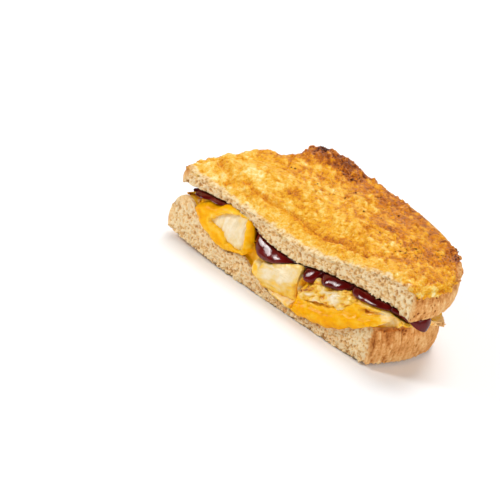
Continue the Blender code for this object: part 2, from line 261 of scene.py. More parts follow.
def soft_noise(points, size, seed):
    """Gradient noise of about -1 to 1 with swells size mm wide.

    Every corner of a lattice has a random slope, and a smooth S blends what the corners give.
    """
    place = points / size
    corner = np.floor(place)
    inside = place - corner
    blend = inside**3 * (inside * (inside * 6.0 - 15.0) + 10.0)
    total = 0.0
    for step in np.ndindex(2, 2, 2):
        step = np.array(step)
        weight = np.prod(np.where(step, blend, 1.0 - blend), axis=-1)
        slope = [scramble(corner + step, seed + 31 * axis) * 2.0 - 1.0 for axis in range(3)]
        total = total + weight * sum(slope[axis] * (inside - step)[..., axis] for axis in range(3))
    return total * 2.6


FADE = 0.55


def rough_noise(points, size, seed, octaves=3):
    """Soft noise at size, half of it, a quarter and so on, each layer FADE times as strong as the last."""
    layers = [soft_noise(points, size / 2**i, seed + i) * FADE**i for i in range(octaves)]
    return sum(layers) / sum(FADE**i for i in range(octaves))


def billows(points, size, seed):
    """Rounded bumps with sharp valleys between them: how far smooth noise is from zero, -1 to 1."""
    large = np.abs(soft_noise(points, size, seed))
    small = np.abs(soft_noise(points, 0.47 * size, seed + 1))
    return 2.4 * (large + 0.5 * small) - 0.9


def bubbles(points, size, seed, share=1.0, smallest=0.2, largest=0.48):
    """How deep each point lies inside a crowd of spheres, in mm, and 0 outside them.

    Every cube, size mm wide, holds one sphere at a random place, or none beyond share of the cubes.
    Its radius is smallest to largest times size. The depth is the half chord, sqrt(radius2 - distance2).
    """
    place = points / size
    cube = np.floor(place)
    deepest = np.zeros(points.shape[:-1])
    for step in np.ndindex(3, 3, 3):
        near = cube + (np.array(step) - 1)
        centre = near + np.stack([scramble(near, seed + axis) for axis in range(3)], axis=-1)
        radius = mix(smallest, largest, scramble(near, seed + 3) ** 1.5)
        radius = np.where(scramble(near, seed + 4) < share, radius, 0.0)
        deepest = np.maximum(deepest, radius**2 - np.sum((place - centre) ** 2, axis=-1))
    return np.sqrt(deepest) * size


def spots(x, y, places):
    """Sum of soft round patches, each given as x, y, half width, half depth and strength."""
    return sum(
        strength * np.exp(-(((x - at_x) / wide) ** 2 + ((y - at_y) / deep) ** 2))
        for at_x, at_y, wide, deep, strength in places
    )


def distance_to_path(x, y, path):
    """Distance from each point to the nearest stretch of a path of straight pieces."""
    nearest = np.full(np.shape(x), np.inf)
    for (x0, y0), (x1, y1) in zip(path[:-1], path[1:]):
        long, tall = x1 - x0, y1 - y0
        along = np.clip(((x - x0) * long + (y - y0) * tall) / (long**2 + tall**2), 0, 1)
        nearest = np.minimum(nearest, np.hypot(x - mix(x0, x1, along), y - mix(y0, y1, along)))
    return nearest


# %% [markdown]
# ## Layers as closed rings
# Bread, cheese and sauce are all flat bodies with a straight cut side and a curved crust side. A plain
# grid would leave a saw-toothed rim. So each layer is made of rings that follow its outline. They start
# from a line in the middle of the underside, run out to the edge, climb the wall and come back over the
# top to the same line. Two numbers name a point: its place round the outline, and its ring.

# %% Rings
LINE_MARGIN = 21.0          # the middle line stops this far inside each end, in mm
LINE_DEPTH_SHARE = 0.46     # and lies this share of the depth behind the cut
LINE_INSET = 20.0           # it counts as this far from any edge, in mm
SHOULDER_WIDTH = 3.0        # how far in from the crust a slice's top is rounded, in mm


def ring_loop(crust, steps):
    """The outline as an anticlockwise loop, its outward normals, and the point of the line each faces.

    The cut has that many steps. A quarter as many round each end share an end of the line.
    """
    round_end = steps // 4
    back = smooth_outline(crust, steps + 2 * round_end + 1)
    cut_x = np.linspace(back[0, 0], back[-1, 0], steps + 1)
    loop = np.vstack([np.column_stack([cut_x, np.zeros(steps + 1)]), back[-2:0:-1]])
    step = np.arange(len(loop))
    facing = np.clip(len(loop) - step - round_end, 0, steps)
    facing = np.where(step <= steps, step, facing)
    line_x = np.linspace(back[0, 0] + LINE_MARGIN, back[-1, 0] - LINE_MARGIN, steps + 1)
    line = np.column_stack([line_x, np.full(steps + 1, LINE_DEPTH_SHARE * back[:, 1].max())])
    along = np.roll(loop, -1, axis=0) - np.roll(loop, 1, axis=0)
    normal = np.column_stack([along[:, 1], -along[:, 0]])
    normal /= np.linalg.norm(normal, axis=1)[:, None]
    crustward = (step > steps).astype(float)
    normal = np.where(crustward[:, None] > 0, normal, [0.0, -1.0])
    run = np.concatenate([[0.0], np.cumsum(np.hypot(*np.diff(loop, axis=0).T))])
    return SimpleNamespace(
        plan=loop, normal=normal, facing=facing, line=line, crustward=crustward, run=run,
        reach=np.linalg.norm(line[facing] - loop, axis=1),
    )


# %% Closing the rings
def close_rings(points, loop, line_low, line_high):
    """All points of the rings and of the two ends of the line, and the triangles between them.

    Triangles with two equal corners, where neighbours face the same point of the line, are left out.
    """
    rows, count = points.shape[:2]
    here = np.arange(count)
    there = (here + 1) % count
    low = np.arange(rows - 1)[:, None] * count
    high = low + count
    sides = [[low + here, low + there, high + there], [low + here, high + there, high + here]]
    faces = [np.stack(corners, axis=-1).reshape(-1, 3) for corners in sides]
    under = rows * count + loop.facing
    over = under + len(line_low)
    last = (rows - 1) * count
    faces += [
        np.stack([under[here], there, here], axis=-1),
        np.stack([under[here], under[there], there], axis=-1),
        np.stack([over[here], last + here, last + there], axis=-1),
        np.stack([over[here], last + there, over[there]], axis=-1),
    ]
    faces = np.vstack(faces)
    whole = (faces[:, 0] != faces[:, 1]) & (faces[:, 1] != faces[:, 2]) & (faces[:, 2] != faces[:, 0])
    return np.vstack([points.reshape(-1, 3), line_low, line_high]), faces[whole]


def point_normals(points, faces):
    """The outward direction at each point: the sum of its faces' normals, made one long."""
    a, b, c = (points[faces[:, corner]] for corner in range(3))
    facing = np.cross(b - a, c - a)
    total = np.zeros_like(points)
    for corner in range(3):
        for axis in range(3):
            total[:, axis] += np.bincount(faces[:, corner], facing[:, axis], len(points))
    return total / np.maximum(np.linalg.norm(total, axis=1), 1e-9)[:, None]


# %% A layer between two heights
def layer(crust, underside, top, shares, rises, steps, swell=0.0, shoulder=0.0):
    """A closed layer between two heights, with what describes each of its points.

    shares say how far in from the edge each ring lies, from 0 to 1, and rises how far up the wall. The
    crust bulges by swell in the middle of its height, and its upper rim is rounded down by shoulder.
    """
    loop = ring_loop(crust, steps)
    plan = mix(loop.plan, loop.line[loop.facing], shares[:, None, None])
    inset = shares[:, None] * loop.reach
    rise = np.broadcast_to(rises[:, None], inset.shape)
    low = underside(plan[..., 0], plan[..., 1])
    high = top(plan[..., 0], plan[..., 1])
    high = high - shoulder * loop.crustward * np.clip(1.0 - inset / SHOULDER_WIDTH, 0.0, 1.0) ** 2
    out = swell * loop.crustward * np.sin(np.pi * rise)
    plan = plan + loop.normal * out[..., None]
    points = np.dstack([plan, mix(low, high, rise)])
    ends = [np.column_stack([loop.line, level(*loop.line.T)]) for level in (underside, top)]
    flat, faces = close_rings(points, loop, *ends)
    spare = 2 * len(loop.line)

    def per_point(grid, at_line=0.0):
        """A value for each ring point, with at_line for the points of the middle line."""
        on_rings = np.broadcast_to(grid, inset.shape).ravel()
        return np.concatenate([on_rings, np.broadcast_to(at_line, spare)])

    outward = np.vstack([np.tile(loop.normal, (len(shares), 1)), np.zeros((spare, 2))])
    return SimpleNamespace(
        points=flat, faces=faces, outward=outward,
        inset=per_point(inset, LINE_INSET),
        rise=per_point(rise, np.repeat([0.0, 1.0], len(loop.line))),
        crust=per_point(loop.crustward),
        run=per_point(loop.run),
        wall=per_point((shares == 0.0)[:, None]),
    )


# %% Mesh from arrays
def make_piece(name, points, faces, material, **values):
    """A smooth-shaded mesh object from points in mm, with one number per point for each named value."""
    points = np.clip(points, *ROOM)
    mesh = bpy.data.meshes.new(name)
    mesh.vertices.add(len(points))
    mesh.vertices.foreach_set("co", ((points + TO_FRAME) * MM).astype(np.float32).ravel())
    mesh.loops.add(faces.size)
    mesh.loops.foreach_set("vertex_index", faces.astype(np.int32).ravel())
    mesh.polygons.add(len(faces))
    mesh.polygons.foreach_set("loop_start", np.arange(0, faces.size, 3, dtype=np.int32))
    mesh.update(calc_edges=True)
    mesh.shade_smooth()
    for title, value in values.items():
        attribute = mesh.attributes.new(title, "FLOAT", "POINT")
        attribute.data.foreach_set("value", np.asarray(value, np.float32))
    mesh.materials.append(material)
    piece = bpy.data.objects.new(name, mesh)
    bpy.context.scene.collection.objects.link(piece)
    low, high = points.min(axis=0), points.max(axis=0)
    print(name, len(faces), "triangles,", "x".join(f"{side:.1f}" for side in high - low), "mm")
    return piece


def stand_for(piece, slot, *nodes):
    """Hangs a finished piece under the root body, and hides the solids that it replaces, if it replaces
    any.
    """
    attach(piece, "root")
    if nodes:
        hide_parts(*nodes)


# %% [markdown]
# ## Colours and materials
# Each material reads the numbers that its mesh carries, such as how deep a point lies in a bubble or how
# long it was browned, and a ramp turns them into colour. Finer mottling than the mesh can hold comes from
# noise on the object's own coordinates, so that it stays put from every side.

# %% Colour and nodes
def hex_colour(code, alpha=1.0):
    """An sRGB hex colour as the linear values that a shader needs."""
    share = np.array([int(code[i:i + 2], 16) for i in (1, 3, 5)]) / 255.0
    linear = np.where(share <= 0.04045, share / 12.92, ((share + 0.055) / 1.055) ** 2.4)
    return (*linear, alpha)


def add_node(tree, kind, inputs=None, stops=None, **settings):
    """Adds a node. inputs gives its sockets values, or sockets to link from, and stops fill its ramp."""
    node = tree.nodes.new(kind)
    for name, value in settings.items():
        setattr(node, name, value)
    for socket, value in (inputs or {}).items():
        if isinstance(value, bpy.types.NodeSocket):
            tree.links.new(value, node.inputs[socket])
        else:
            node.inputs[socket].default_value = value
    for number, (place, code) in enumerate(stops or []):
        ramp = node.color_ramp.elements
        stop = ramp[number] if number < 2 else ramp.new(place)
        stop.position = place
        stop.color = hex_colour(code)
    return node


def new_material(name):
    """An empty material with a Principled shader, and its tree, its shader and its object coordinates."""
    material = bpy.data.materials.new(name)
    material.use_nodes = True
    tree = material.node_tree
    shader = tree.nodes["Principled BSDF"]
    place = add_node(tree, "ShaderNodeTexCoord").outputs["Object"]
    return material, tree, shader, place


# %% [markdown]
# ## Bread
# A tin loaf's crumb is a foam of bubbles that the knife has cut open, and its crust is a thin, baked skin
# with fine wrinkles and burst pits. Sinking the cut face into a crowd of spheres gives the open bubbles
# their true round floors, and colour then follows depth, because light fades inside a bubble.

# %% Bread material
FACTOR, FIRST, SECOND, MIXED = 0, 6, 7, 2    # sockets of a colour Mix node
MOTTLE_SCALE = 260.0    # swells about 4 mm wide, as a noise scale is in swells per metre
GRIT_SCALE = 1100.0     # grit about 1 mm wide, the finest that still shows


def bread_colour(tree, place, crust, pore, bake):
    """Colour of bread: cream crumb with painted shade, down to tan, in its bubbles, and a golden to brown
    crust.

    Also gives the fine grit on both, for their bump.
    """
    mottle = add_node(tree, "ShaderNodeTexNoise", {"Vector": place, "Scale": MOTTLE_SCALE, "Detail": 3.0})
    grit = add_node(tree, "ShaderNodeTexNoise", {
        "Vector": place, "Scale": GRIT_SCALE, "Detail": 4.0, "Roughness": 0.65}).outputs["Fac"]
    # Painted shade: the deeper a point of crumb lies in a bubble, the darker the ramp makes it, down to
    # tan.
    deep = add_node(tree, "ShaderNodeMath", {0: grit, 1: 1.1, 2: pore}, operation="MULTIPLY_ADD")
    crumb = add_node(tree, "ShaderNodeValToRGB", {"Fac": deep.outputs[0]}, stops=[
        (0.3, "#FFF3D6"), (1.0, "#C09260"), (0.44, "#FDE6B6"), (0.6, "#F3CF98"), (0.8, "#DAAE76"),
    ])
    warm = add_node(tree, "ShaderNodeMix", {
        FACTOR: mottle.outputs["Fac"], FIRST: hex_colour("#FFF7E2"), SECOND: hex_colour("#F5E0CA"),
    }, data_type="RGBA")
    tinted = add_node(tree, "ShaderNodeMix", {
        FACTOR: 1.0, FIRST: crumb.outputs["Color"], SECOND: warm.outputs[MIXED],
    }, data_type="RGBA", blend_type="MULTIPLY")
    browned = add_node(tree, "ShaderNodeMath", {0: grit, 1: 0.6, 2: bake}, operation="MULTIPLY_ADD")
    skin = add_node(tree, "ShaderNodeValToRGB", {"Fac": browned.outputs[0]}, stops=[
        (0.3, "#F9DCA6"), (1.0, "#6E3414"), (0.45, "#F0C284"), (0.62, "#E0A05C"), (0.8, "#BE7636"),
        (0.92, "#96521F"),
    ])
    colour = add_node(tree, "ShaderNodeMix", {
        FACTOR: crust, FIRST: tinted.outputs[MIXED], SECOND: skin.outputs["Color"],
    }, data_type="RGBA")
    return colour.outputs[MIXED], grit


def bread_material():
    """Tin loaf: matt, cream crumb with painted shade in its bubbles, and a drier, golden to brown crust."""
    material, tree, shader, place = new_material("tin loaf bread")
    crust, pore, bake = (
        add_node(tree, "ShaderNodeAttribute", attribute_name=name).outputs["Fac"]
        for name in ("crust", "pore", "bake")
    )
    colour, grit = bread_colour(tree, place, crust, pore, bake)
    bump = add_node(tree, "ShaderNodeBump", {"Height": grit, "Strength": 1.0, "Distance": 0.0006})
    tree.links.new(colour, shader.inputs["Base Color"])
    tree.links.new(bump.outputs["Normal"], shader.inputs["Normal"])
    shader.inputs["Roughness"].default_value = 0.78
    shader.inputs["Specular IOR Level"].default_value = 0.15
    return material


# %% Crumb and crust relief
COARSE = np.array([0.85, 0.65, 0.45, 0.3, 0.18, 0.1, 0.05, 0.02])   # rings on a hidden face


def slab_rings(wall_rows, under=COARSE):
    """Shares and rises of a layer's rings, with most of them on its wall."""
    over = COARSE[::-1]
    shares = np.concatenate([under, np.zeros(wall_rows), over])
    rises = np.concatenate([np.zeros(len(under)), np.linspace(0.0, 1.0, wall_rows), np.ones(len(over))])
    return shares, rises


FOAM = [    # cube size in mm, share of the cubes with a bubble, largest radius, how deep it shows
    (2.6, 0.15, 0.42, 0.55), (1.6, 0.7, 0.52, 0.7), (1.05, 1.0, 0.62, 0.8), (0.8, 1.0, 0.62, 0.8),
]


def crumb_depth(points):
    """How far the cut face sinks into the foam: open bubbles of four sizes, pressed a little flat."""
    bent = points + 0.35 * np.stack([soft_noise(points, 1.2, 80 + axis) for axis in range(3)], axis=-1)
    bent = bent * [0.85, 1.0, 1.1]
    return np.max([
        strength * bubbles(bent, size, 5 + 6 * number, share=share, smallest=0.32, largest=largest)
        for number, (size, share, largest, strength) in enumerate(FOAM)
    ], axis=0)


def crumb_tuft(points):
    """Small tufts that stand up between the bubbles, -1 to 1."""
    return rough_noise(points, 1.5, 51, octaves=2)


def pore_shade(depth, tuft):
    """How dark a point of crumb looks: more the deeper it lies in a bubble, less on a tuft."""
    return np.clip(1.2 * depth - 0.25 * tuft - 0.32, -0.35, 0.6)


def crust_relief(points, body, pitted, ribbed):
    """Height of the crust's skin: wide dents, ribs that run up the wall, wrinkles and burst pits."""
    wrinkle = rough_noise(points * [1.0, 1.0, 0.6], 1.7, 23, octaves=3)
    upright = np.column_stack([body.run, points[:, 2] / 5.0, 0 * body.run])
    rib = rough_noise(upright, 1.5, 33, octaves=2)
    skin = mix(wrinkle, rib, (0.25 + 0.6 * ribbed) * body.wall)
    pit = bubbles(points + 0.2 * wrinkle[:, None], 1.35, 29, share=0.35 + 0.45 * pitted, largest=0.45)
    dent = rough_noise(points, 9.0, 37, octaves=2)
    return 0.35 * dent + (0.26 + 0.24 * ribbed) * skin - (0.3 + 0.8 * pitted) * pit, skin, pit


# %% One slice of bread
BREAD_SWELL = 0.9   # how far a crust bulges in the middle of its height, in mm


def bread_slice(outline, underside, top, shoulder, under, bake_of, worn):
    """One slice: a layer whose cut face sinks into bubbles and whose crust is wrinkled and pitted.

    under are the shares of the rings on its underside, and worn is how far the knife has pressed down
    the cut's upper edge, in mm.
    """
    shares, rises = slab_rings(wall_rows=44, under=under)
    body = layer(
        outline, underside, top, shares, rises, steps=450, swell=BREAD_SWELL, shoulder=shoulder)
    x, y, z = body.points.T
    left, right = outline[0][0], outline[-1][0]

    # Torn crumbs along the cut's lower edge, coarser towards the right corner.
    ragged = 0.35 + 0.75 * between(34.0, 44.0, x)
    torn = rough_noise(np.column_stack([x, 0 * x, 0 * x]), 2.4, 41) * ragged
    body.points[:, 2] += torn * np.exp(-np.abs(y) / 2.0) * (1.0 - body.rise) ** 3 * (body.wall > 0)
    pressed = (1.0 - body.crust) * np.clip(1.0 - body.inset / 2.0, 0.0, 1.0) ** 2
    body.points[:, 2] -= worn * body.rise * pressed
    normal = point_normals(body.points, body.faces)

    # Crust covers the back wall, both ends of the cut, a rim of the flat faces, and toasted places.
    cut = body.wall * (1.0 - body.crust)
    end = np.minimum((x - left) / (1.0 + 3.0 * worn * body.rise), right - x)
    cut_end = cut * between(1.7, 0.5, end + 0.5 * soft_noise(body.points, 1.2, 43))
    skin = np.maximum(body.crust * body.wall, cut_end)
    wrap = (1.0 - body.wall) * between(2.6, 0.6, body.inset) * between(0.5, 3.0, y)
    pitted, ribbed, bake, toasted = bake_of(x, y, z, body)
    skin = np.maximum(np.maximum(skin, wrap), toasted)

    # Crumb sinks by its bubbles and crust stands by its relief, and what lies on the table stays flat.
    relief, wrinkle, pit = crust_relief(body.points, body, pitted, ribbed)
    depth = crumb_depth(body.points)
    faded = np.where(body.wall > 0, 1.0, between(2.0, 0.0, body.inset))
    tuft = crumb_tuft(body.points)
    uneven = 0.3 * rough_noise(body.points, 6.0, 47, octaves=2) + 0.36 * tuft
    crumb = (uneven - 0.25 - depth) * faded
    free = 1.0 - (1.0 - body.wall) * (body.rise == 0) * between(0.0, 3.0, body.inset)
    push = mix(crumb, relief - 0.1, skin) * free
    points = body.points + normal * push[:, None]
    points[:, 1] = np.maximum(points[:, 1], -0.25)
    points[:, 2] = np.maximum(points[:, 2], 0.0)
    # The crust is painted darker in its burst pits and low wrinkles and lighter on raised ones: painted
    # shade and painted light.
    marks = (0.2 + 0.05 * ribbed) * wrinkle - pit * (0.25 + pitted)
    values = {
        "crust": skin,
        "pore": pore_shade(depth, tuft) * np.maximum(faded, 0.3) * free,
        "bake": np.clip(bake - marks * free, 0.0, 1.0),
    }
    return points, body.faces, values


# %% How each slice was baked
def lower_bake(x, y, z, body):
    """Where the lower slice is pitted, ribbed, brown and toasted: ribbed and darkest at the right."""
    corner = spots(x, y, [(48.5, 4.0, 5.0, 9.0, 1.0)])
    ribbed = between(36.0, 47.0, x) * between(40.0, 8.0, y)
    foot = between(2.4, 0.4, z) * between(30.0, 45.0, x)
    bake = 0.31 + 0.1 * corner * between(3.0, 12.0, z) - 0.2 * foot
    bake = bake + 0.12 * rough_noise(body.points, 5.0, 61)
    pale_end = between(-48.0, -54.0, x) * between(16.0, 4.0, y)
    grilled = (1.0 - body.wall) * (body.rise == 0) * between(0.0, 5.0, body.inset)
    patchy = rough_noise(body.points, 9.0, 71)
    bake = mix(bake, 0.1, pale_end)
    scorched = (1.0 - body.crust) * body.wall * spots(x, z, [(-54.0, 18.0, 4.0, 3.4, 1.0)])
    toasted = np.maximum(0.85 * scorched, grilled * np.clip(0.72 + 0.3 * patchy, 0.0, 1.0))
    return 0.2 + 0 * x, ribbed * (1.0 - pale_end), mix(bake, 0.36 + 0.12 * patchy, grilled), toasted


def upper_bake(x, y, _, body):
    """Where the upper slice is pitted, ribbed, brown and toasted: pitted near its right corner."""
    corner = spots(x, y, [(61.0, 3.0, 5.0, 8.0, 1.0)])
    rim = between(0.55, 1.0, body.rise) * body.wall
    bake = 0.25 + 0.06 * corner + 0.16 * rim + 0.12 * rough_noise(body.points, 5.0, 67)
    return 0.25 + 0.75 * corner, 0.2 + 0 * x, bake, 0 * x


# %% Both slices
tin_loaf = bread_material()
lower_points, lower_faces, lower_values = bread_slice(
    LOWER_CRUST, table_side, lower_top, shoulder=0.8, under=np.linspace(0.9, 0.03, 16),
    bake_of=lower_bake, worn=0.3)
lower_slice = make_piece("lower_slice", lower_points, lower_faces, tin_loaf, **lower_values)
stand_for(lower_slice, "bread", "bread_bottom")

upper_points, upper_faces, upper_values = bread_slice(
    UPPER_CRUST, upper_underside, upper_top, shoulder=1.8, under=COARSE, bake_of=upper_bake, worn=0.5)
upper_slice = make_piece("upper_slice", upper_points, upper_faces, tin_loaf, **upper_values)
stand_for(upper_slice, "bread", "bread_top")


# %% [markdown]
# ## Grilled cheese on top
# Sliced cheese melts into the toast, bubbles, and browns where it stands highest. It runs over the cut
# and over the crust here and there. The coat is one closed layer: fine rings over the top, and a lip of a
# few rings that hangs down over the edge as far as the cheese has run. Its colour follows how long each
# place was under the grill: pale where it pooled, golden in between, brown to black on thin, dry places.
# Its pits and creases also carry painted shade, and its raised grains and bumps painted light.

# %% Where the coat is pale, browned, burnt or creased, in mm
PALE_POOLS = [    # middle, half width, half depth and strength
    (-55.5, 4.5, 4.0, 3.0, 0.8), (-44.5, 4.0, 6.0, 3.5, 0.7), (-47.0, 16.0, 5.0, 4.0, 0.4),
    (-8.0, 28.0, 9.0, 7.0, 0.3), (-40.0, 20.0, 4.0, 5.0, 0.35), (8.0, 36.0, 10.0, 5.0, 0.3),
    (31.0, 14.0, 7.0, 4.0, 0.4), (44.0, 2.0, 6.0, 3.0, 0.4), (22.0, 40.0, 8.0, 4.0, 0.3),
    (-30.0, 38.0, 7.0, 3.0, 0.35),
]
BROWNED = [    # the same
    (-32.0, 52.0, 13.0, 7.5, 1.0), (-23.0, 49.0, 7.0, 5.0, 0.6), (-30.0, 57.5, 15.0, 4.2, 0.8),
    (-38.5, 50.0, 8.0, 6.0, 0.9), (-57.0, 3.0, 1.6, 5.0, 0.4), (-41.0, 54.0, 5.0, 4.0, 0.7),
    (-45.0, 41.5, 3.0, 3.0, 0.7), (-53.0, 35.0, 4.0, 3.0, 0.5), (-18.0, 16.0, 3.2, 2.4, 0.45),
    (20.0, 28.6, 5.0, 2.2, 0.6), (35.0, 42.0, 4.0, 2.5, 0.5), (41.5, 39.5, 4.5, 3.0, 0.6),
    (46.5, 34.0, 3.5, 4.0, 0.5), (40.0, 27.0, 10.0, 4.5, 0.35), (52.0, 13.0, 6.0, 4.0, 0.4),
    (-6.0, 56.5, 12.0, 2.5, 0.5), (14.0, 53.0, 12.0, 2.5, 0.45), (56.0, 24.0, 4.0, 7.0, 0.2),
    (-38.0, 30.0, 5.0, 5.0, 0.25), (2.0, 8.0, 9.0, 1.8, 0.3), (-30.0, 8.0, 7.0, 1.6, 0.3),
    (24.0, 8.0, 8.0, 1.6, 0.3),
]
BURNT = [    # the same
    (-38.5, 50.5, 1.3, 1.6, 1.0), (-45.0, 41.0, 1.2, 1.4, 0.9), (-25.5, 48.0, 2.6, 1.6, 0.5),
    (-52.5, 35.5, 2.0, 1.2, 0.5), (19.5, 29.2, 2.4, 0.8, 0.6), (34.3, 42.4, 1.0, 1.2, 0.5),
]
BLISTERS = [    # middle and radius
    (34.3, 42.4, 1.5), (40.7, 41.5, 1.9), (44.6, 38.8, 1.7), (46.6, 36.6, 1.3), (-38.5, 50.5, 1.6),
    (-45.0, 41.0, 1.3), (-17.0, 47.5, 1.2), (8.0, 51.5, 1.2),
]
CREASES = [    # paths from left to right
    [(-57.4, 9.0), (-53.6, 11.8), (-46.8, 10.0), (-40.8, 7.0), (-37.5, 4.2)],
    [(-34.0, 9.0), (-22.0, 7.4), (-10.0, 8.6), (4.0, 7.0), (16.0, 8.4), (30.0, 7.2)],
]
LIP_END = [    # along the cut, how low the lip hangs
    (-57.0, 26.6), (-48.0, 25.9), (-34.0, 26.0), (-20.0, 25.6), (-9.0, 25.4), (-1.0, 24.5), (6.0, 24.3),
    (21.0, 27.0), (35.0, 30.0), (48.0, 33.4), (61.0, 33.4),
]
SPILLS = [    # where cheese ran over the crust: middle, half width, half depth and how far down
    (52.0, 31.0, 3.0, 4.0, 1.0), (61.0, 4.0, 3.0, 5.0, 3.6), (59.5, 18.0, 3.0, 3.0, 1.2),
]
SPECKS = [    # where the larger burnt specks lie
    (-34.0, 30.5), (-33.2, 31.2), (-6.6, 31.7), (-18.2, 28.5), (-8.8, 39.8), (20.0, 23.0), (32.4, 27.2),
    (34.7, 18.5), (37.2, 18.6), (36.3, 24.7), (-21.0, 44.5), (-17.5, 45.5), (-3.0, 46.0), (12.0, 41.0),
    (6.0, 29.0), (44.6, 38.4), (45.6, 37.0), (41.0, 41.8), (41.8, 40.6), (40.2, 40.8), (34.9, 42.8),
    (-38.2, 50.8), (-38.8, 50.0), (-45.0, 41.4),
]


# %% Cheese materials
def cheese_material(name, stops, *, roughness, shine, grain, grain_depth, mottle, glow):
    """Melted cheddar: oily, smooth to grainy. Its tone picks a colour from pale to burnt.

    grain is the noise scale of its finest lumps, per metre, grain_depth how high they stand, in metres,
    and mottle how much they change its tone. Where it thins out, the bare attribute lets the crumb or
    crust of the bread show, matt and cream or tan.
    """
    material, tree, shader, place = new_material(name)
    tone, bare, rind, pore, bake = (
        add_node(tree, "ShaderNodeAttribute", attribute_name=wanted).outputs["Fac"]
        for wanted in ("tone", "bare", "rind", "pore", "bake")
    )
    fine = add_node(tree, "ShaderNodeTexNoise", {
        "Vector": place, "Scale": grain, "Detail": 5.0, "Roughness": 0.6}).outputs["Fac"]
    dust = add_node(tree, "ShaderNodeTexNoise", {
        "Vector": place, "Scale": 2.6 * grain, "Detail": 2.0}).outputs["Fac"]
    both = add_node(tree, "ShaderNodeMath", {0: dust, 1: 0.7, 2: fine}, operation="MULTIPLY_ADD").outputs[0]
    centred = add_node(tree, "ShaderNodeMath", {0: both, 1: 0.85}, operation="SUBTRACT").outputs[0]
    shade = add_node(tree, "ShaderNodeMath", {0: centred, 1: mottle, 2: tone}, operation="MULTIPLY_ADD")
    ramp = add_node(tree, "ShaderNodeValToRGB", {"Fac": shade.outputs[0]}, stops=stops)
    under, _ = bread_colour(tree, place, rind, pore, bake)
    colour = add_node(tree, "ShaderNodeMix", {
        FACTOR: bare, FIRST: ramp.outputs["Color"], SECOND: under}, data_type="RGBA")
    bump = add_node(tree, "ShaderNodeBump", {"Height": both, "Strength": 0.7, "Distance": grain_depth})
    gloss = add_node(tree, "ShaderNodeMath", {0: bare, 1: 0.4, 2: roughness}, operation="MULTIPLY_ADD")
    tree.links.new(colour.outputs[MIXED], shader.inputs["Base Color"])
    tree.links.new(bump.outputs["Normal"], shader.inputs["Normal"])
    tree.links.new(gloss.outputs[0], shader.inputs["Roughness"])
    shader.inputs["Specular IOR Level"].default_value = shine
    shader.inputs["Subsurface Weight"].default_value = glow
    shader.inputs["Subsurface Radius"].default_value = (1.0, 0.5, 0.1)
    shader.inputs["Subsurface Scale"].default_value = 0.001
    return material


# %% The coat's shape
COAT_TOP = 1.4      # the coat's face lies this far over the bread's, in mm, before its relief


def coat_underside(x, y):
    """Underside of the coat, hidden just over the bread."""
    return upper_top(x, y) + 0.3


def coat_face(x, y):
    """Upper face of the coat."""
    return upper_top(x, y) + COAT_TOP


def coat_layer():
    """The coat as rings: fine over the top, a lip over the edge, and a plain, hidden underside."""
    over = np.linspace(0.0, 1.0, 82)[1:-1] ** 1.05
    lip = 14
    shares = np.concatenate([COARSE, np.zeros(lip), over])
    rises = np.concatenate([np.zeros(len(COARSE)), np.linspace(0.0, 1.0, lip), np.ones(len(over))])
    body = layer(UPPER_CRUST, coat_underside, coat_face, shares, rises, steps=360)
    x, y, z = body.points.T
    crust = body.crust

    # The edge is rounded, more where the knife drew the cheese down.
    rounding = np.clip(1.0 - body.inset / mix(2.8, 3.4, crust), 0.0, 1.0) ** 2
    edge_drop = mix(1.5, 1.9, crust)
    z = z - edge_drop * rounding * (body.rise > 0)

    # The lip: from the edge down to where the cheese stopped running, thinning into the bread as it goes.
    down = body.wall * (1.0 - body.rise)
    ragged = rough_noise(np.column_stack([x, y, 0 * x]), 4.0, 101, octaves=3)
    stop_cut = knot_height(LIP_END, x) - 0.7 + 1.1 * ragged
    spill = spots(x, y, SPILLS)
    stop_crust = upper_top(x, y) - 2.2 - np.maximum(1.4 * ragged, -1.0) - spill
    edge = coat_face(x, y) - edge_drop
    stop = np.minimum(mix(stop_cut, stop_crust, crust), edge - 0.5)
    z = np.where(body.wall > 0, mix(edge, stop, down), z)
    low, high = upper_underside(x, y), upper_top(x, y) - 1.8
    swell = BREAD_SWELL * np.sin(np.pi * np.clip((z - low) / (high - low), 0.0, 1.0)) * crust
    proud = (0.35 - 1.5 * between(0.35, 1.0, down)) * body.wall
    plan = body.points[:, :2] + body.outward * ((swell + proud) * body.wall)[:, None]
    body.points = np.column_stack([plan, z])
    body.down = down
    return body


# %% What the grill left on the coat
FLOW = np.radians(42.5)     # the cheese ran towards the back left, this far round from straight back
STREAK = np.radians(8.0)    # and its streaks lie along the cut, turned by this much
BROWNING_BACK = 0.6         # browning grows to the right, and this share as fast towards the back


def along_and_across(x, y, angle):
    """How far each point lies along a direction at that angle, and how far to its left."""
    return x * np.cos(angle) + y * np.sin(angle), y * np.cos(angle) - x * np.sin(angle)


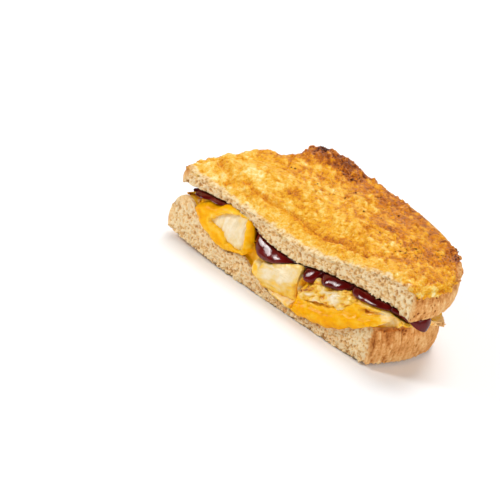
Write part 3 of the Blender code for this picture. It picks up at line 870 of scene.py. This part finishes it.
def grill_pattern(points):
    """The patches, streaks, grains, pits and creases of the coat, each as one number per point.

    Most patches are longer the way the cheese ran, because noise is read there at 0.55 of the depth.
    Streaks are read at a length of 9 mm to a width of 3.4 mm.
    """
    x, y, z = points.T
    level, depth = along_and_across(x, y, FLOW)
    drawn = np.column_stack([level, 0.55 * depth, z])
    along, across = along_and_across(x, y, STREAK)
    streaked = np.column_stack([along / 9.0, across / 3.4, z / 6.0])
    waver = rough_noise(drawn, 4.5, 111, octaves=3)
    patch = rough_noise(drawn, 3.6, 119, octaves=2)
    grain = rough_noise(drawn, 1.7, 121, octaves=2)
    browned = spots(x + 1.6 * waver, y + 1.6 * waver, BROWNED)
    pale = spots(x + 1.5 * waver, y + 1.2 * waver, PALE_POOLS)
    dry = np.clip(1.15 * browned * (0.9 + 0.4 * waver), 0.0, 1.0)
    pool = np.clip(pale * (0.9 + 0.4 * waver), 0.0, 1.0)
    molten = between(10.0, 4.0, y + 2.5 * waver + 1.5 * patch)
    molten = molten * between(-30.0, -18.0, x) * between(56.0, 46.0, x)
    browning = x + BROWNING_BACK * y
    coarse = between(-0.45, 0.6, rough_noise(drawn, 10.0, 135) + 0.4 * between(10.0, 45.0, browning))
    wrinkle = np.abs(soft_noise(drawn + 0.6 * patch[:, None], 4.2, 129)) / 0.5
    bent_x, bent_y = x + 0.5 * waver, y + 0.7 * waver
    return SimpleNamespace(
        waver=waver, patch=patch, grain=grain, dry=dry, pool=pool, molten=molten,
        burnt=spots(x + 0.6 * waver, y + 0.6 * waver, BURNT),
        swell=rough_noise(drawn, 9.0, 113, octaves=2),
        streak=rough_noise(streaked, 1.0, 117, octaves=2),
        fine=rough_noise(drawn, 0.9, 127, octaves=2),
        edge_lump=rough_noise(drawn, 2.3, 143, octaves=2),
        crumple=(1.0 - np.clip(wrinkle, 0.0, 1.0)) ** 2,
        bump=billows(drawn + 0.5 * grain[:, None], 2.6, 131),
        lobe=billows(drawn + 0.8 * patch[:, None], 6.0, 133),
        coarse=coarse * (1.0 - 0.7 * pool),
        pit=bubbles(drawn + 0.3 * grain[:, None], 1.25, 137, share=0.25 + 0.65 * dry),
        crease=np.min([distance_to_path(bent_x, bent_y, path) for path in CREASES], axis=0),
        ring=np.min([np.hypot(x - at_x, 0.6 * (y - at_y)) / size for at_x, at_y, size in BLISTERS], axis=0),
        fleck=np.min([np.hypot(x - at_x, 0.6 * (y - at_y)) for at_x, at_y in SPECKS], axis=0),
        toasted=between(-5.0, 45.0, browning) + 1.9 * between(18.0, 48.0, y),
    )


# %% How high the coat stands
def bell(distance, width):
    """1 at no distance, falling away smoothly over a width."""
    return np.exp(-((distance / width) ** 2))


def coat_height(marks, body):
    """How far the cheese stands up, in mm: swells and bumps, less its pits and creases."""
    smooth = 1.0 - 0.55 * np.clip(marks.molten + 0.5 * marks.pool, 0.0, 1.0)
    height = 0.38 * marks.swell + 0.22 * marks.streak + 0.25 * marks.patch
    height += 0.25 * marks.lobe - 0.35 * marks.crumple
    height += (0.08 + 0.2 * marks.coarse) * smooth * marks.bump
    height += (0.15 * smooth + 0.36 * marks.dry) * marks.grain + (0.16 + 0.16 * marks.dry) * marks.fine
    height -= (0.45 + 0.55 * marks.dry) * marks.pit
    height += 0.55 * bell(marks.crease - 1.9, 1.2) - 0.9 * bell(marks.crease, 0.8)
    height += 0.45 * bell(marks.ring - 0.75, 0.35) - 0.5 * bell(marks.ring, 0.5)
    return height + 0.55 * marks.edge_lump * np.exp(-body.inset / 3.0) * body.crust


# %% How brown the coat is
def coat_tone(marks):
    """How brown each place is, 0 pale, 0.4 golden, 0.76 brown and 1 black: mostly how long it was under the
    grill, with painted shade in its pits, creases and grooves and painted light on its raised grains and
    bumps.
    """
    rough = 1.0 + 0.3 * marks.toasted * (1.0 - marks.pool)
    tone = 0.315 + 0.125 * marks.toasted + 0.02 * marks.coarse - 0.22 * marks.pool
    # Pits and crumpled grooves are darker, and raised grains, lumps and bumps paler: partly oil pooled in
    # the hollows, partly painted shade and light.
    tone += 0.12 * marks.crumple + 0.1 * marks.pit
    tone += rough * (0.06 * marks.swell + 0.13 * marks.streak + 0.06 * marks.patch - 0.05 * marks.lobe)
    tone -= rough * (0.02 * marks.grain + 0.04 * marks.fine + (0.02 + 0.04 * marks.coarse) * marks.bump)
    tone = np.where(tone > 0.55, 0.55 + 0.5 * (tone - 0.55), tone)
    tone = mix(tone, 0.28, 0.55 * marks.molten)
    # In dry places the pits are painted darker and raised grains and bumps lighter: painted shade and
    # light.
    tone = mix(tone, 0.76 - 0.15 * marks.grain - 0.07 * marks.bump + 0.1 * marks.pit, marks.dry)
    # Darker along the creases: partly oil in the groove, partly painted shade.
    tone += 0.1 * bell(marks.crease, 0.9)
    tone += 0.32 * bell(marks.fleck, 0.75) * between(-0.8, 0.5, marks.grain)
    tone += 0.16 * np.clip(marks.burnt * (1.0 + 0.8 * marks.grain), 0.0, 1.0)
    return tone + 0.34 * bell(marks.ring - 0.85, 0.22) * between(0.0, 0.6, marks.grain + 0.4)


# %% Where bread shows through the coat
def coat_finish(points, body):
    """Height of the coat, and its tone, bareness and rind, by how it was grilled and how thin it lies.

    Near its edges the cheese has sunk into the bread, which shows through in places.
    """
    marks = grill_pattern(points)
    height = coat_height(marks, body)
    tone = coat_tone(marks)
    cut_inset = body.inset + 1.3 * marks.patch + 0.8 * marks.waver - 2.5 * body.down
    cut_side = (1.0 - body.crust) * between(2.4, 0.0, cut_inset)
    crust_side = body.crust * between(2.4, 0.2, body.inset + 1.0 * marks.patch - 2.0 * body.down)
    thin = np.clip(cut_side + crust_side, 0.0, 1.0)
    bare = between(0.25, 0.85, thin * (0.85 + 0.35 * marks.waver + 0.2 * marks.grain))
    foam = crumb_depth(points)
    tuft = crumb_tuft(points)
    height = mix(height, 0.2 + 0.26 * tuft - foam, np.clip(cut_side * 0.8, 0.0, 1.0))
    # On the bare edge the crumb's open bubbles are painted darker: painted shade.
    tone = mix(tone, tone - 0.12 + 0.2 * foam, cut_side)
    # Under the coat the bread is painted darker in pits and lighter on raised grain, as painted shade and
    # light; dry places are browned.
    bake = 0.3 + 0.14 * marks.patch - 0.16 * marks.grain + 0.5 * marks.pit + 0.2 * marks.dry

    # Crust shows at the left end of the cut, and cheese runs down it at the right end.
    from_left = points[:, 0] - UPPER_CRUST[0][0]
    corner = (1.0 - body.crust) * between(3.6, 1.6, from_left + 0.6 * marks.patch)
    run = between(1.5, 0.0, np.abs(points[:, 0] - 60.5) - 2.5 + marks.patch)
    run = run * between(3.2, 1.2, body.down + 0.8 * marks.patch)
    bare = bare * (1.0 - run)
    return height, {
        "tone": np.clip(tone, 0.0, 1.0),
        "bare": np.maximum(bare, 0.7 * corner * body.wall),
        "rind": np.maximum(body.crust, corner),
        "bake": np.clip(bake, 0.0, 1.0),
        "pore": pore_shade(foam, tuft),
    }


# %% The coat
grilled_cheddar = cheese_material(
    "grilled cheddar",
    [(0.0, "#FCE9B0"), (1.0, "#46200E"), (0.15, "#F9D472"), (0.31, "#F3B42E"), (0.45, "#E79A18"),
     (0.58, "#D07A16"), (0.71, "#B05E1A"), (0.86, "#7E3B16")],
    roughness=0.3, shine=0.1, grain=700.0, grain_depth=0.001, mottle=0.75, glow=0.0)   # lumps of 1.4 mm
coat = coat_layer()
coat_rise, coat_values = coat_finish(coat.points, coat)
coat_normal = point_normals(coat.points, coat.faces)
shown = between(0.0, 0.25, coat.rise)
coat_points = coat.points + coat_normal * ((coat_rise - 0.3) * shown)[:, None]
frayed = rough_noise(coat.points, 2.4, 141) * 0.9 * np.exp(-coat.inset / 1.5) * coat.crust * shown
coat_points[:, :2] += coat.outward * frayed[:, None]
cheese_coat = make_piece("cheese_coat", coat_points, coat.faces, grilled_cheddar, **coat_values)
stand_for(cheese_coat, "browned_cheese", "cheese_topping")


# %% [markdown]
# ## Burnt specks
# Crumbs that lay on the cheese burned to small black grains. Noise in the material could draw them, but
# grains of their own also stand up from the surface. Each has eight corners, pushed in and out at random,
# and sits half sunk in the nearest point of the coat.

# %% Burnt specks
SWARMS = [    # where the small ones lie: middle, width, depth and how many
    (36.0, 22.0, 9.0, 7.0, 40), (42.0, 34.0, 5.0, 6.0, 24), (-26.0, 49.0, 11.0, 5.0, 50),
    (0.0, 40.0, 30.0, 12.0, 30),
]


def speck_cloud(surface):
    """Burnt crumbs of cheese and bread, each a dented grain with eight corners, half sunk in the coat."""
    chance = np.random.default_rng(12)
    places = [np.array(SPECKS)]
    radii = [chance.uniform(0.4, 0.7, len(SPECKS))]
    for x, y, wide, deep, number in SWARMS:
        places.append(chance.normal((x, y), (wide / 2, deep / 2), (number, 2)))
        radii.append(chance.uniform(0.18, 0.34, number))
    places, radii = np.vstack(places), np.concatenate(radii)
    turns = np.linspace(0.0, 2.0 * np.pi, 6, endpoint=False)
    ring = np.column_stack([np.cos(turns), np.sin(turns), 0 * turns])
    grain = np.vstack([ring, [[0.0, 0.0, 0.8], [0.0, 0.0, -0.8]]])
    here = np.arange(6)
    there = np.roll(here, -1)
    upper_sides = np.column_stack([here, there, np.full(6, 6)])
    lower_sides = np.column_stack([there, here, np.full(6, 7)])
    sides = np.vstack([upper_sides, lower_sides])
    points, faces = [], []
    for place, radius in zip(places, radii):
        nearest = np.argmin(np.hypot(*(surface[:, :2] - place).T))
        dented = grain * chance.uniform(0.6, 1.2, (8, 1)) * radius
        points.append(dented + surface[nearest])
        faces.append(sides + 8 * len(faces))
    return np.vstack(points), np.vstack(faces)


char, _, char_shader, _ = new_material("burnt specks of cheese")
char_shader.inputs["Base Color"].default_value = hex_colour("#4A1E0A")
char_shader.inputs["Roughness"].default_value = 0.6
char_shader.inputs["Specular IOR Level"].default_value = 0.05
speck_points, speck_faces = speck_cloud(coat_points[(coat.rise == 1) & (coat.inset > 1.0)])
burnt_specks = make_piece("burnt_specks", speck_points, speck_faces, char)
stand_for(burnt_specks, "browned_cheese")


# %% [markdown]
# ## Filling
# The cut shows the filling in section: pieces of chicken breast, held in melted cheese that has run out of
# the cut in soft rolls, with cranberry sauce pressed out under the upper slice. Each shape on the cut is a
# closed outline, and how far it stands out is a quarter circle of the distance to that outline, so every
# roll has a round edge and a flat middle.

# %% Outlines on the cut: distance along it and height, in mm
# A piece of chicken rises by lift on its way back. It is length deep, starts front before the cut, and
# tips back on both sides of a ledge, given as a point on the cut and a slope.
CHICKEN = {
    "chicken_1": dict(
        outline=[
            (-37.8, 16.2), (-34.4, 20.2), (-29.0, 23.2), (-24.2, 24.4), (-20.2, 24.2), (-18.6, 20.8),
            (-17.6, 16.6), (-18.4, 13.0), (-22.8, 12.0), (-27.2, 12.6), (-30.2, 14.8), (-33.8, 15.0),
        ],
        lift=-1.2, length=24.0, front=-3.0, ledge=(-30.0, 8.0, 0.0)),
    "chicken_2": dict(
        outline=[
            (-8.0, 13.2), (-1.9, 15.6), (4.6, 18.6), (10.0, 20.2), (10.6, 17.6), (10.5, 11.9),
            (10.0, 6.6), (4.7, 5.6), (-2.0, 5.0), (-7.0, 5.2), (-8.8, 9.2),
        ],
        lift=4.0, length=26.0, front=-2.7, ledge=(-8.0, 7.6, 0.36)),
    "chicken_3": dict(
        outline=[
            (11.6, 11.4), (13.5, 14.0), (15.9, 17.0), (18.6, 19.3), (22.6, 19.8), (28.1, 20.8),
            (34.0, 22.2), (37.8, 21.2), (36.0, 18.0), (30.9, 14.4), (25.6, 12.1), (20.7, 11.2),
            (15.3, 10.2),
        ],
        lift=1.2, length=22.0, front=-2.3, ledge=(12.0, 9.0, 0.4)),
    "chicken_4": dict(
        outline=[
            (39.6, 18.8), (42.4, 20.8), (46.6, 21.6), (50.4, 22.6), (51.6, 21.8), (47.6, 19.8),
            (42.6, 17.9),
        ],
        lift=-2.0, length=12.0, front=-1.4, ledge=(40.0, 15.0, 0.0)),
}
CHEESE_ROLLS = [    # outline, how far it stands out of the cut, width of its round edge
    ([
        (-47.6, 17.6), (-43.7, 20.6), (-37.3, 24.2), (-28.8, 27.0), (-19.6, 27.0), (-16.3, 21.4),
        (-15.7, 17.4), (-15.9, 13.8), (-18.9, 10.6), (-23.3, 8.0), (-29.3, 7.0), (-34.5, 8.0),
        (-40.2, 10.6), (-44.4, 14.0),
    ], 2.6, 3.4),
    ([
        (-13.4, 10.4), (-10.4, 14.2), (-2.9, 17.0), (4.5, 20.4), (11.2, 22.0), (11.4, 17.0),
        (10.8, 9.0), (9.6, 2.0), (-3.0, 2.0), (-8.6, 2.6), (-12.4, 5.4),
    ], 2.0, 2.6),
    ([
        (10.6, 3.0), (10.8, 11.0), (13.0, 15.0), (18.0, 21.0), (33.0, 24.0), (44.0, 25.0), (52.0, 25.0),
        (53.0, 21.0), (47.0, 15.0), (39.7, 9.0), (30.0, 6.0), (19.4, 2.0),
    ], 1.7, 2.6),
    ([
        (10.4, 3.6), (11.0, 8.6), (15.1, 10.6), (20.8, 11.2), (25.2, 11.9), (29.8, 14.2), (34.5, 16.4),
        (39.7, 17.6), (45.5, 19.0), (48.6, 19.4), (46.6, 16.0), (42.0, 11.0), (34.8, 7.6), (27.0, 5.4),
        (19.0, 2.0),
    ], 3.0, 3.0),
]


def closed_curve(knots, count):
    """count points, equally spaced along the smooth closed curve through the knots, anticlockwise."""
    knots = np.array(knots)
    laps = np.vstack([knots[-2:], knots, knots[:3]])
    curve = smooth_outline(laps, 4000)
    first = np.argmin(np.hypot(*(curve[:2000] - knots[0]).T))
    last = 2000 + np.argmin(np.hypot(*(curve[2000:] - knots[0]).T))
    piece = curve[first:last]
    even = smooth_outline(piece, count + 1)[:-1]
    area = np.sum(even[:, 0] * np.roll(even[:, 1], -1) - np.roll(even[:, 0], -1) * even[:, 1])
    return even if area > 0 else even[::-1]


def depth_inside(x, z, outline):
    """Distance to a closed outline, positive inside it: even or odd crossings tell which side."""
    ring = np.vstack([outline, outline[:1]])
    inside = np.zeros(np.shape(x), bool)
    for (x0, z0), (x1, z1) in zip(ring[:-1], ring[1:]):
        if z0 != z1:
            inside ^= ((z0 > z) != (z1 > z)) & (x < (x1 - x0) * (z - z0) / (z1 - z0) + x0)
    return np.where(inside, 1.0, -1.0) * distance_to_path(x, z, ring)


def round_edge(depth, width):
    """0 outside, then a quarter circle, width wide, up to 1."""
    return np.sqrt(np.clip(1.0 - np.clip(1.0 - depth / width, 0.0, 1.0) ** 2, 0.0, 1.0))


# %% [markdown]
# ## Chicken
# Breast meat is a bundle of fibres, smooth along them and ragged where it was torn across. A piece is a
# closed tube: its rings widen from the middle of its face to its rim, run back along its sides and close
# again. Noise that is stretched along the fibres then raises ridges on it.

# %% Chicken pieces
def chicken_piece(outline, lift, length, front, ledge):
    """A piece as rings: from the middle of its front face out to the rim, back along it, and closed.

    ledge is a line across the face, from a point with a slope. The face tips back on both sides of it.
    """
    around = 260
    rim = closed_curve(outline, around)
    middle = rim.mean(axis=0)
    face = np.linspace(0.0, 1.0, 42)[1:] ** 0.85
    shares = np.concatenate([face, np.ones(26), [0.7, 0.3]])
    back = np.linspace(0.0, 1.0, 27)[1:] ** 1.4
    y_rim = front + 0.7
    y = np.concatenate([front + 0.7 * face**6, y_rim + back * (length - y_rim), [length, length]])
    taper = np.interp(y, [-1.5, 3.0, length * 0.5, length], [1.0, 0.93, 0.8, 0.45])
    flat = middle + (rim - middle) * (shares * taper)[:, None, None]
    rise = lift * behind_cut(y)
    points = np.stack([
        flat[..., 0], np.broadcast_to(y[:, None], flat.shape[:2]), flat[..., 1] + rise[:, None]], axis=-1)
    off_ledge = points[..., 2] - ledge[1] - ledge[2] * (points[..., 0] - ledge[0])
    tipped = 0.16 * np.clip(off_ledge, 0.0, None) + 0.28 * np.clip(-off_ledge, 0.0, None)
    points[..., 1] += tipped * between(1.0, -1.0, y)[:, None]
    rows = len(shares)
    here = np.arange(around)
    there = (here + 1) % around
    low = np.arange(rows - 1)[:, None] * around
    tip, tail = rows * around, rows * around + 1
    high = low + around
    last = (rows - 1) * around
    sides = [[low + here, high + there, low + there], [low + here, high + here, high + there]]
    faces = np.vstack([np.stack(corners, axis=-1).reshape(-1, 3) for corners in sides] + [
        np.stack([np.full(around, tip), here, there], axis=-1),
        np.stack([np.full(around, tail), last + there, last + here], axis=-1),
    ])
    tip_point = [middle[0], points[0, :, 1].mean(), middle[1]]
    tail_point = [middle[0], length, middle[1] + rise[-1]]
    flat_points = np.vstack([points.reshape(-1, 3), [tip_point], [tail_point]])
    share = np.concatenate([np.repeat(shares * (y < 1.0), around), [0.0, 1.0]])
    return flat_points, faces, share, np.concatenate([off_ledge.ravel(), [0.0, 0.0]])


# %% Fibres
def fibre_relief(points, fibre, seed):
    """Ridges along the meat's fibres: noise stretched along them six times, with lumps and torn shreds.

    fibre is the slope of the fibres on the cut, in degrees.
    """
    along, across = along_and_across(points[:, 0], points[:, 2], np.radians(fibre))
    bent = across + 0.5 * soft_noise(points, 5.0, seed)
    drawn_out = np.column_stack([along / 6.0, bent, points[:, 1] / 3.0])
    grain = rough_noise(drawn_out, 1.3, seed + 3, octaves=3)
    lump = rough_noise(points, 4.5, seed + 7, octaves=2)
    shred = rough_noise(np.column_stack([along / 2.2, bent, points[:, 1]]), 2.3, seed + 11, octaves=3)
    return grain, lump, shred


# %% Chicken material
def chicken_material():
    """Roast chicken breast: pale, moist meat with shining fibres, yellow where cheese clings to it."""
    material, tree, shader, place = new_material("cooked chicken breast")
    tone = add_node(tree, "ShaderNodeAttribute", attribute_name="tone").outputs["Fac"]
    fine = add_node(tree, "ShaderNodeTexNoise", {
        "Vector": place, "Scale": 700.0, "Detail": 4.0}).outputs["Fac"]    # fibre ends of 1.4 mm
    centred = add_node(tree, "ShaderNodeMath", {0: fine, 1: 0.5}, operation="SUBTRACT").outputs[0]
    shade = add_node(tree, "ShaderNodeMath", {0: centred, 1: 0.4, 2: tone}, operation="MULTIPLY_ADD")
    ramp = add_node(tree, "ShaderNodeValToRGB", {"Fac": shade.outputs[0]}, stops=[
        (0.05, "#F5E6C8"), (1.0, "#B8690F"), (0.28, "#EFD5A0"), (0.46, "#F2CC72"), (0.62, "#F3C03A"),
        (0.82, "#DE9018"),
    ])
    bump = add_node(tree, "ShaderNodeBump", {"Height": fine, "Strength": 0.5, "Distance": 0.0004})
    tree.links.new(ramp.outputs["Color"], shader.inputs["Base Color"])
    tree.links.new(bump.outputs["Normal"], shader.inputs["Normal"])
    shader.inputs["Roughness"].default_value = 0.3
    shader.inputs["Specular IOR Level"].default_value = 0.2
    shader.inputs["Subsurface Weight"].default_value = 0.1
    shader.inputs["Subsurface Radius"].default_value = (1.0, 0.6, 0.35)
    shader.inputs["Subsurface Scale"].default_value = 0.001
    return material


# %% The chicken pieces
# The slope of a piece's fibres in degrees, how deeply it is torn in mm, its plain tone, how much cheese
# clings to it below its ledge, and how much lies in its tears.
MEAT = {
    "chicken_1": (78.0, 0.15, 0.2, 0.0, 0.0),
    "chicken_2": (10.0, 0.12, 0.24, 0.24, 0.0),
    "chicken_3": (24.0, 1.1, 0.2, 0.0, 0.75),
    "chicken_4": (14.0, 0.7, 0.2, 0.0, 0.7),
}
cooked_chicken = chicken_material()
for number, (node, cut) in enumerate(CHICKEN.items()):
    points, faces, share, off_ledge = chicken_piece(**cut)
    slope, torn, plain, clinging, yellowed = MEAT[node]
    grain, lump, shred = fibre_relief(points, slope, 200 + 20 * number)
    push = 0.18 * grain + 0.4 * lump + torn * shred - 0.1
    meat = points + point_normals(points, faces) * push[:, None]
    tone = plain - 0.12 * grain - 0.12 * lump + 0.28 * between(0.6, 1.0, share + 0.15 * lump) ** 1.5
    tone += clinging * between(0.6, -0.8, off_ledge + 0.6 * lump) + yellowed * (0.38 - 0.75 * shred)
    meat_piece = make_piece(node + "_meat", meat, faces, cooked_chicken, tone=np.clip(tone, 0.0, 1.0))
    stand_for(meat_piece, "chicken", node)


# %% [markdown]
# ## Melted cheese
# Cheddar that melted between the slices holds the chicken and bulges out of the cut in glossy rolls. It is
# the same kind of layer as the bread. Its cut side is pushed out where a roll lies, and held back where a
# piece of chicken sits in it.

# %% Melted cheese
def filling_cheese():
    """The cheese as a layer whose cut side swells into rolls, makes room for the chicken and sags."""
    shares, rises = slab_rings(wall_rows=50)
    body = layer(CHEESE_EDGE, filling_underside, filling_top, shares, rises, steps=400, swell=0.4)
    x, y, z = body.points.T
    cut = body.wall * (1.0 - body.crust)
    low = filling_underside(x, 0 * x)
    # Round the first piece of chicken the cheese reaches up to the upper slice.
    reach_up = between(-38.0, -30.0, x) * between(-14.5, -18.0, x)
    over = filling_top(x, 0 * x)
    gap = reach_up * np.clip(upper_underside(x, 0 * x) + 0.3 - over, 0.0, None)
    z = z + cut * body.rise**2 * gap
    high = over + gap
    rim = np.minimum(z - low, high - z)
    wave = rough_noise(np.column_stack([x, 0 * x, z]), 3.2, 321, octaves=2)
    stands = 0.0
    for outline, out, width in CHEESE_ROLLS:
        depth = np.minimum(depth_inside(x, z, closed_curve(outline, 70)) + 0.4 * wave, rim)
        stands = np.maximum(stands, round_edge(depth, width) * (1.6 + out))
    room = 0.0
    film = 0.0
    for piece in CHICKEN.values():
        inside = depth_inside(x, z, closed_curve(piece["outline"], 60)) + 0.5 * wave
        room = np.maximum(room, 3.4 * between(0.1, 1.5, inside))
        film = np.maximum(film, between(-1.6, 0.2, inside))
    fold = rough_noise(body.points * [0.45, 1.0, 1.0], 3.6, 301, octaves=2)
    shown_out = np.clip(stands * (1.0 + 0.06 * fold) - room, 0.0, None)
    y = y + cut * (1.6 - shown_out + 3.0 * between(-46.5, -50.0, x))
    hang = 1.0 + 0.5 * soft_noise(np.column_stack([x, 0 * x, 0 * x]), 5.0, 305)
    sagging = (0.9 + 0.9 * between(8.0, 14.0, x) * between(47.0, 40.0, x)) * hang
    z = z - cut * sagging * between(0.6, 2.6, shown_out) * (1.0 - body.rise) ** 2
    scrap = spots(x, y, [(56.5, 21.0, 2.5, 3.0, 1.0)]) * body.wall * body.crust
    frayed = scrap * (1.6 + 1.6 * rough_noise(body.points, 1.4, 309))
    points = np.column_stack([x, y, z])
    points[:, :2] += body.outward * frayed[:, None]
    normal = point_normals(points, body.faces)
    ripple = 0.16 * rough_noise(points * [0.6, 1.0, 1.0], 2.0, 313, octaves=3) * body.wall
    back_wave = 0.9 * rough_noise(points, 7.0, 325, octaves=3) - 0.4
    ripple += back_wave * body.wall * body.crust * np.sin(np.pi * body.rise)
    points = points + normal * ripple[:, None]
    thick = between(1.0, 4.0, shown_out)
    tone = 0.46 + 0.16 * fold - 0.12 * rough_noise(points, 1.6, 317) - 0.1 * (1.0 - thick) * cut
    # Darker along the rim where the cheese meets the slices: painted shade.
    tone += 0.08 * between(1.4, 0.0, rim) * cut - 0.5 * scrap - 0.25 * between(46.0, 52.0, x)
    tone += 0.2 * rough_noise(points, 9.0, 329, octaves=3) * body.crust - 0.16 * film * cut
    tone -= 0.2 * between(-14.5, -12.5, x) * between(11.5, 9.5, x)
    values = {
        "tone": np.clip(tone, 0.0, 1.0),
        "bare": 0.85 * np.clip(1.6 * scrap, 0.0, 1.0),
        "rind": 1.0 + 0 * x,
        "bake": 0.2 + 0 * x,
    }
    return points, body.faces, values


melted_cheddar = cheese_material(
    "melted cheddar",
    [(0.0, "#FCDFA4"), (1.0, "#BE6E00"), (0.22, "#FBC53A"), (0.42, "#F9B200"), (0.6, "#EF9C00"),
     (0.8, "#DC8600")],
    roughness=0.26, shine=0.06, grain=350.0, grain_depth=0.0002, mottle=0.3, glow=0.1)   # lumps of 3 mm
cheese_points, cheese_faces, cheese_values = filling_cheese()
melted_cheese = make_piece("melted_cheese", cheese_points, cheese_faces, melted_cheddar, **cheese_values)
stand_for(melted_cheese, "melted_cheese", "cheese_filling")

# %% [markdown]
# ## Cranberry sauce
# A smooth, dark jelly, pressed out between bread and filling into a row of rounded blobs. It is nearly
# black where it is thick, and its wet surface mirrors the lights.

# %% Sauce
BLOBS = [    # middle along the cut, half its width, how far it hangs over the filling, in mm
    (-44.5, 5.2, 0.6), (-37.0, 4.6, 0.0), (-5.6, 10.4, 0.0), (14.4, 4.0, 0.6), (25.6, 7.4, 1.0),
    (42.4, 9.8, 1.2),
]


def sauce_material():
    """Cranberry sauce: a dark red, wet jelly with small, bright highlights."""
    material, tree, shader, place = new_material("cranberry jelly")
    cloudy = add_node(tree, "ShaderNodeTexNoise", {
        "Vector": place, "Scale": 220.0, "Detail": 3.0})    # clouds of 4.5 mm
    ramp = add_node(tree, "ShaderNodeValToRGB", {"Fac": cloudy.outputs["Fac"]}, stops=[
        (0.3, "#440504"), (0.75, "#74100A")])
    tree.links.new(ramp.outputs["Color"], shader.inputs["Base Color"])
    shader.inputs["Roughness"].default_value = 0.16
    shader.inputs["Specular IOR Level"].default_value = 0.26
    return material


def cranberry_layer():
    """The sauce as a layer whose cut side swells into blobs that hang a little over the filling."""
    shares, rises = slab_rings(wall_rows=34)
    body = layer(SAUCE_EDGE, sauce_underside, sauce_top, shares, rises, steps=400, swell=0.4)
    x, y, z = body.points.T
    cut = body.wall * (1.0 - body.crust)
    belly = 0.36
    roll = np.where(
        body.rise < belly, np.sqrt(np.clip(1.0 - (1.0 - body.rise / belly) ** 2, 0.0, 1.0)),
        1.0 - 0.4 * np.clip((body.rise - belly) / (1.0 - belly), 0.0, 1.0) ** 1.7)
    uneven = soft_noise(body.points, 3.6, 401)
    blobs = np.array([
        np.clip(1.0 - np.abs((x - middle) / half) ** 2.4, 0.0, 1.0) ** 0.5 for middle, half, _ in BLOBS])
    blob = blobs.max(axis=0)
    hang = sum(swollen * hangs for swollen, (_, _, hangs) in zip(blobs, BLOBS))
    z = z - cut * (1.0 - body.rise) * (hang + 0.5 * blob) * between(0.0, 0.25, body.rise + 0.2)
    y = y - cut * (roll * blob * (4.9 + 0.3 * uneven) - 2.6)
    return np.column_stack([x, y, z]), body.faces


jelly = sauce_material()
sauce_points, sauce_faces = cranberry_layer()
cranberry_spread = make_piece("cranberry_spread", sauce_points, sauce_faces, jelly)
stand_for(cranberry_spread, "sauce", "cranberry_sauce")

# %% [markdown]
# ## Table, light and camera
# The table is a white sheet. A softbox hangs overhead, a key stands low behind the left end, a window
# and a weaker fill light the cut from the front and the right, and a white sky does the rest, so shadows
# are pale and soft-edged. One more lamp only glints in wet surfaces: it adds no light of its own, and the
# sky leaves no reflection, which would veil the dark sauce.

# %% Table
floor_mesh = bpy.data.meshes.new("table")
floor_half = 3.0    # metres
signs = [(-1, -1), (1, -1), (1, 1), (-1, 1)]
floor_mesh.from_pydata([(floor_half * a, floor_half * b, 0) for a, b in signs], [], [(0, 1, 2, 3)])
floor = bpy.data.objects.new("table", floor_mesh)
bpy.context.scene.collection.objects.link(floor)
sheet, _, sheet_shader, _ = new_material("white table top")
sheet_shader.inputs["Base Color"].default_value = hex_colour("#FAFBFD")
sheet_shader.inputs["Roughness"].default_value = 0.9
floor_mesh.materials.append(sheet)
print("table", 2 * floor_half, "m wide")


# %% Lights
SANDWICH = np.array([0.0, 0.0, 0.02])     # the point that each light faces, in metres


def facing_frame(away, place, roll=0.0):
    """A frame at place whose back looks along away: right is level, up is across both, then both roll."""
    back = away / np.linalg.norm(away)
    right = np.cross([0.0, 0.0, 1.0], back)
    right = right / np.linalg.norm(right)
    up = np.cross(back, right)
    turned = np.eye(4)
    turned[:3, 0] = right * np.cos(roll) + up * np.sin(roll)
    turned[:3, 1] = up * np.cos(roll) - right * np.sin(roll)
    turned[:3, 2] = back
    turned[:3, 3] = place
    return Matrix(turned.tolist())


def add_light(name, place, size, power):
    """A square soft light that faces the sandwich, with its place and size in metres, power in watts."""
    light = bpy.data.lights.new(name, "AREA")
    light.energy = power
    light.size = size
    lamp = bpy.data.objects.new(name, light)
    lamp.matrix_world = facing_frame(np.array(place) - SANDWICH, place)
    bpy.context.scene.collection.objects.link(lamp)
    return lamp


add_light("overhead softbox", (-0.05, 0.15, 0.8), size=0.4, power=3.1)
add_light("back key", (-0.4, 0.6, 0.45), size=0.25, power=1.9)
add_light("front window", (-0.42, -0.44, 0.42), size=0.2, power=2.4)
add_light("right fill", (0.6, -0.1, 0.3), size=0.4, power=2.0)
sheen = add_light("window seen in wet surfaces", (-0.5, -0.42, 0.3), size=0.26, power=4.2)
sheen.visible_diffuse = False
world = bpy.data.worlds.new("white sky")
world.use_nodes = True
sky = world.node_tree.nodes["Background"]
sky.inputs["Color"].default_value = (1.0, 1.0, 1.0, 1.0)
sky.inputs["Strength"].default_value = 0.28
world.cycles_visibility.glossy = False
bpy.context.scene.world = world
bpy.context.scene.view_settings.view_transform = "Standard"
print("lights:", ", ".join(light.name for light in bpy.data.lights))

# %% Camera
AZIMUTH, ELEVATION, ROLL = np.radians([42.5, 22.5, 14.0])
DISTANCE = 0.7
MM_ACROSS = 500 / 2.95      # what the picture is wide, in mm, at the front right corner
corner = (np.array([48.0, 0.0, 2.0]) + TO_FRAME) * MM
back = np.array([
    np.sin(AZIMUTH) * np.cos(ELEVATION), -np.cos(AZIMUTH) * np.cos(ELEVATION), np.sin(ELEVATION)])
turn = np.array(facing_frame(back, corner, ROLL))
LEFT, UP = 39.32, 38.31     # the middle of the view lies this far left of and above that corner, in mm
place = corner + DISTANCE * back + MM * (UP * turn[:3, 1] - LEFT * turn[:3, 0])
lens = bpy.data.cameras.new("camera")
lens.sensor_width = 36.0
lens.lens = lens.sensor_width * DISTANCE / (MM_ACROSS * MM)
lens.clip_start = 0.01
camera = bpy.data.objects.new("camera", lens)
camera.matrix_world = facing_frame(back, place, ROLL)
bpy.context.scene.collection.objects.link(camera)
bpy.context.scene.camera = camera
print("camera", DISTANCE, "m away, with a lens of", round(lens.lens, 1), "mm")
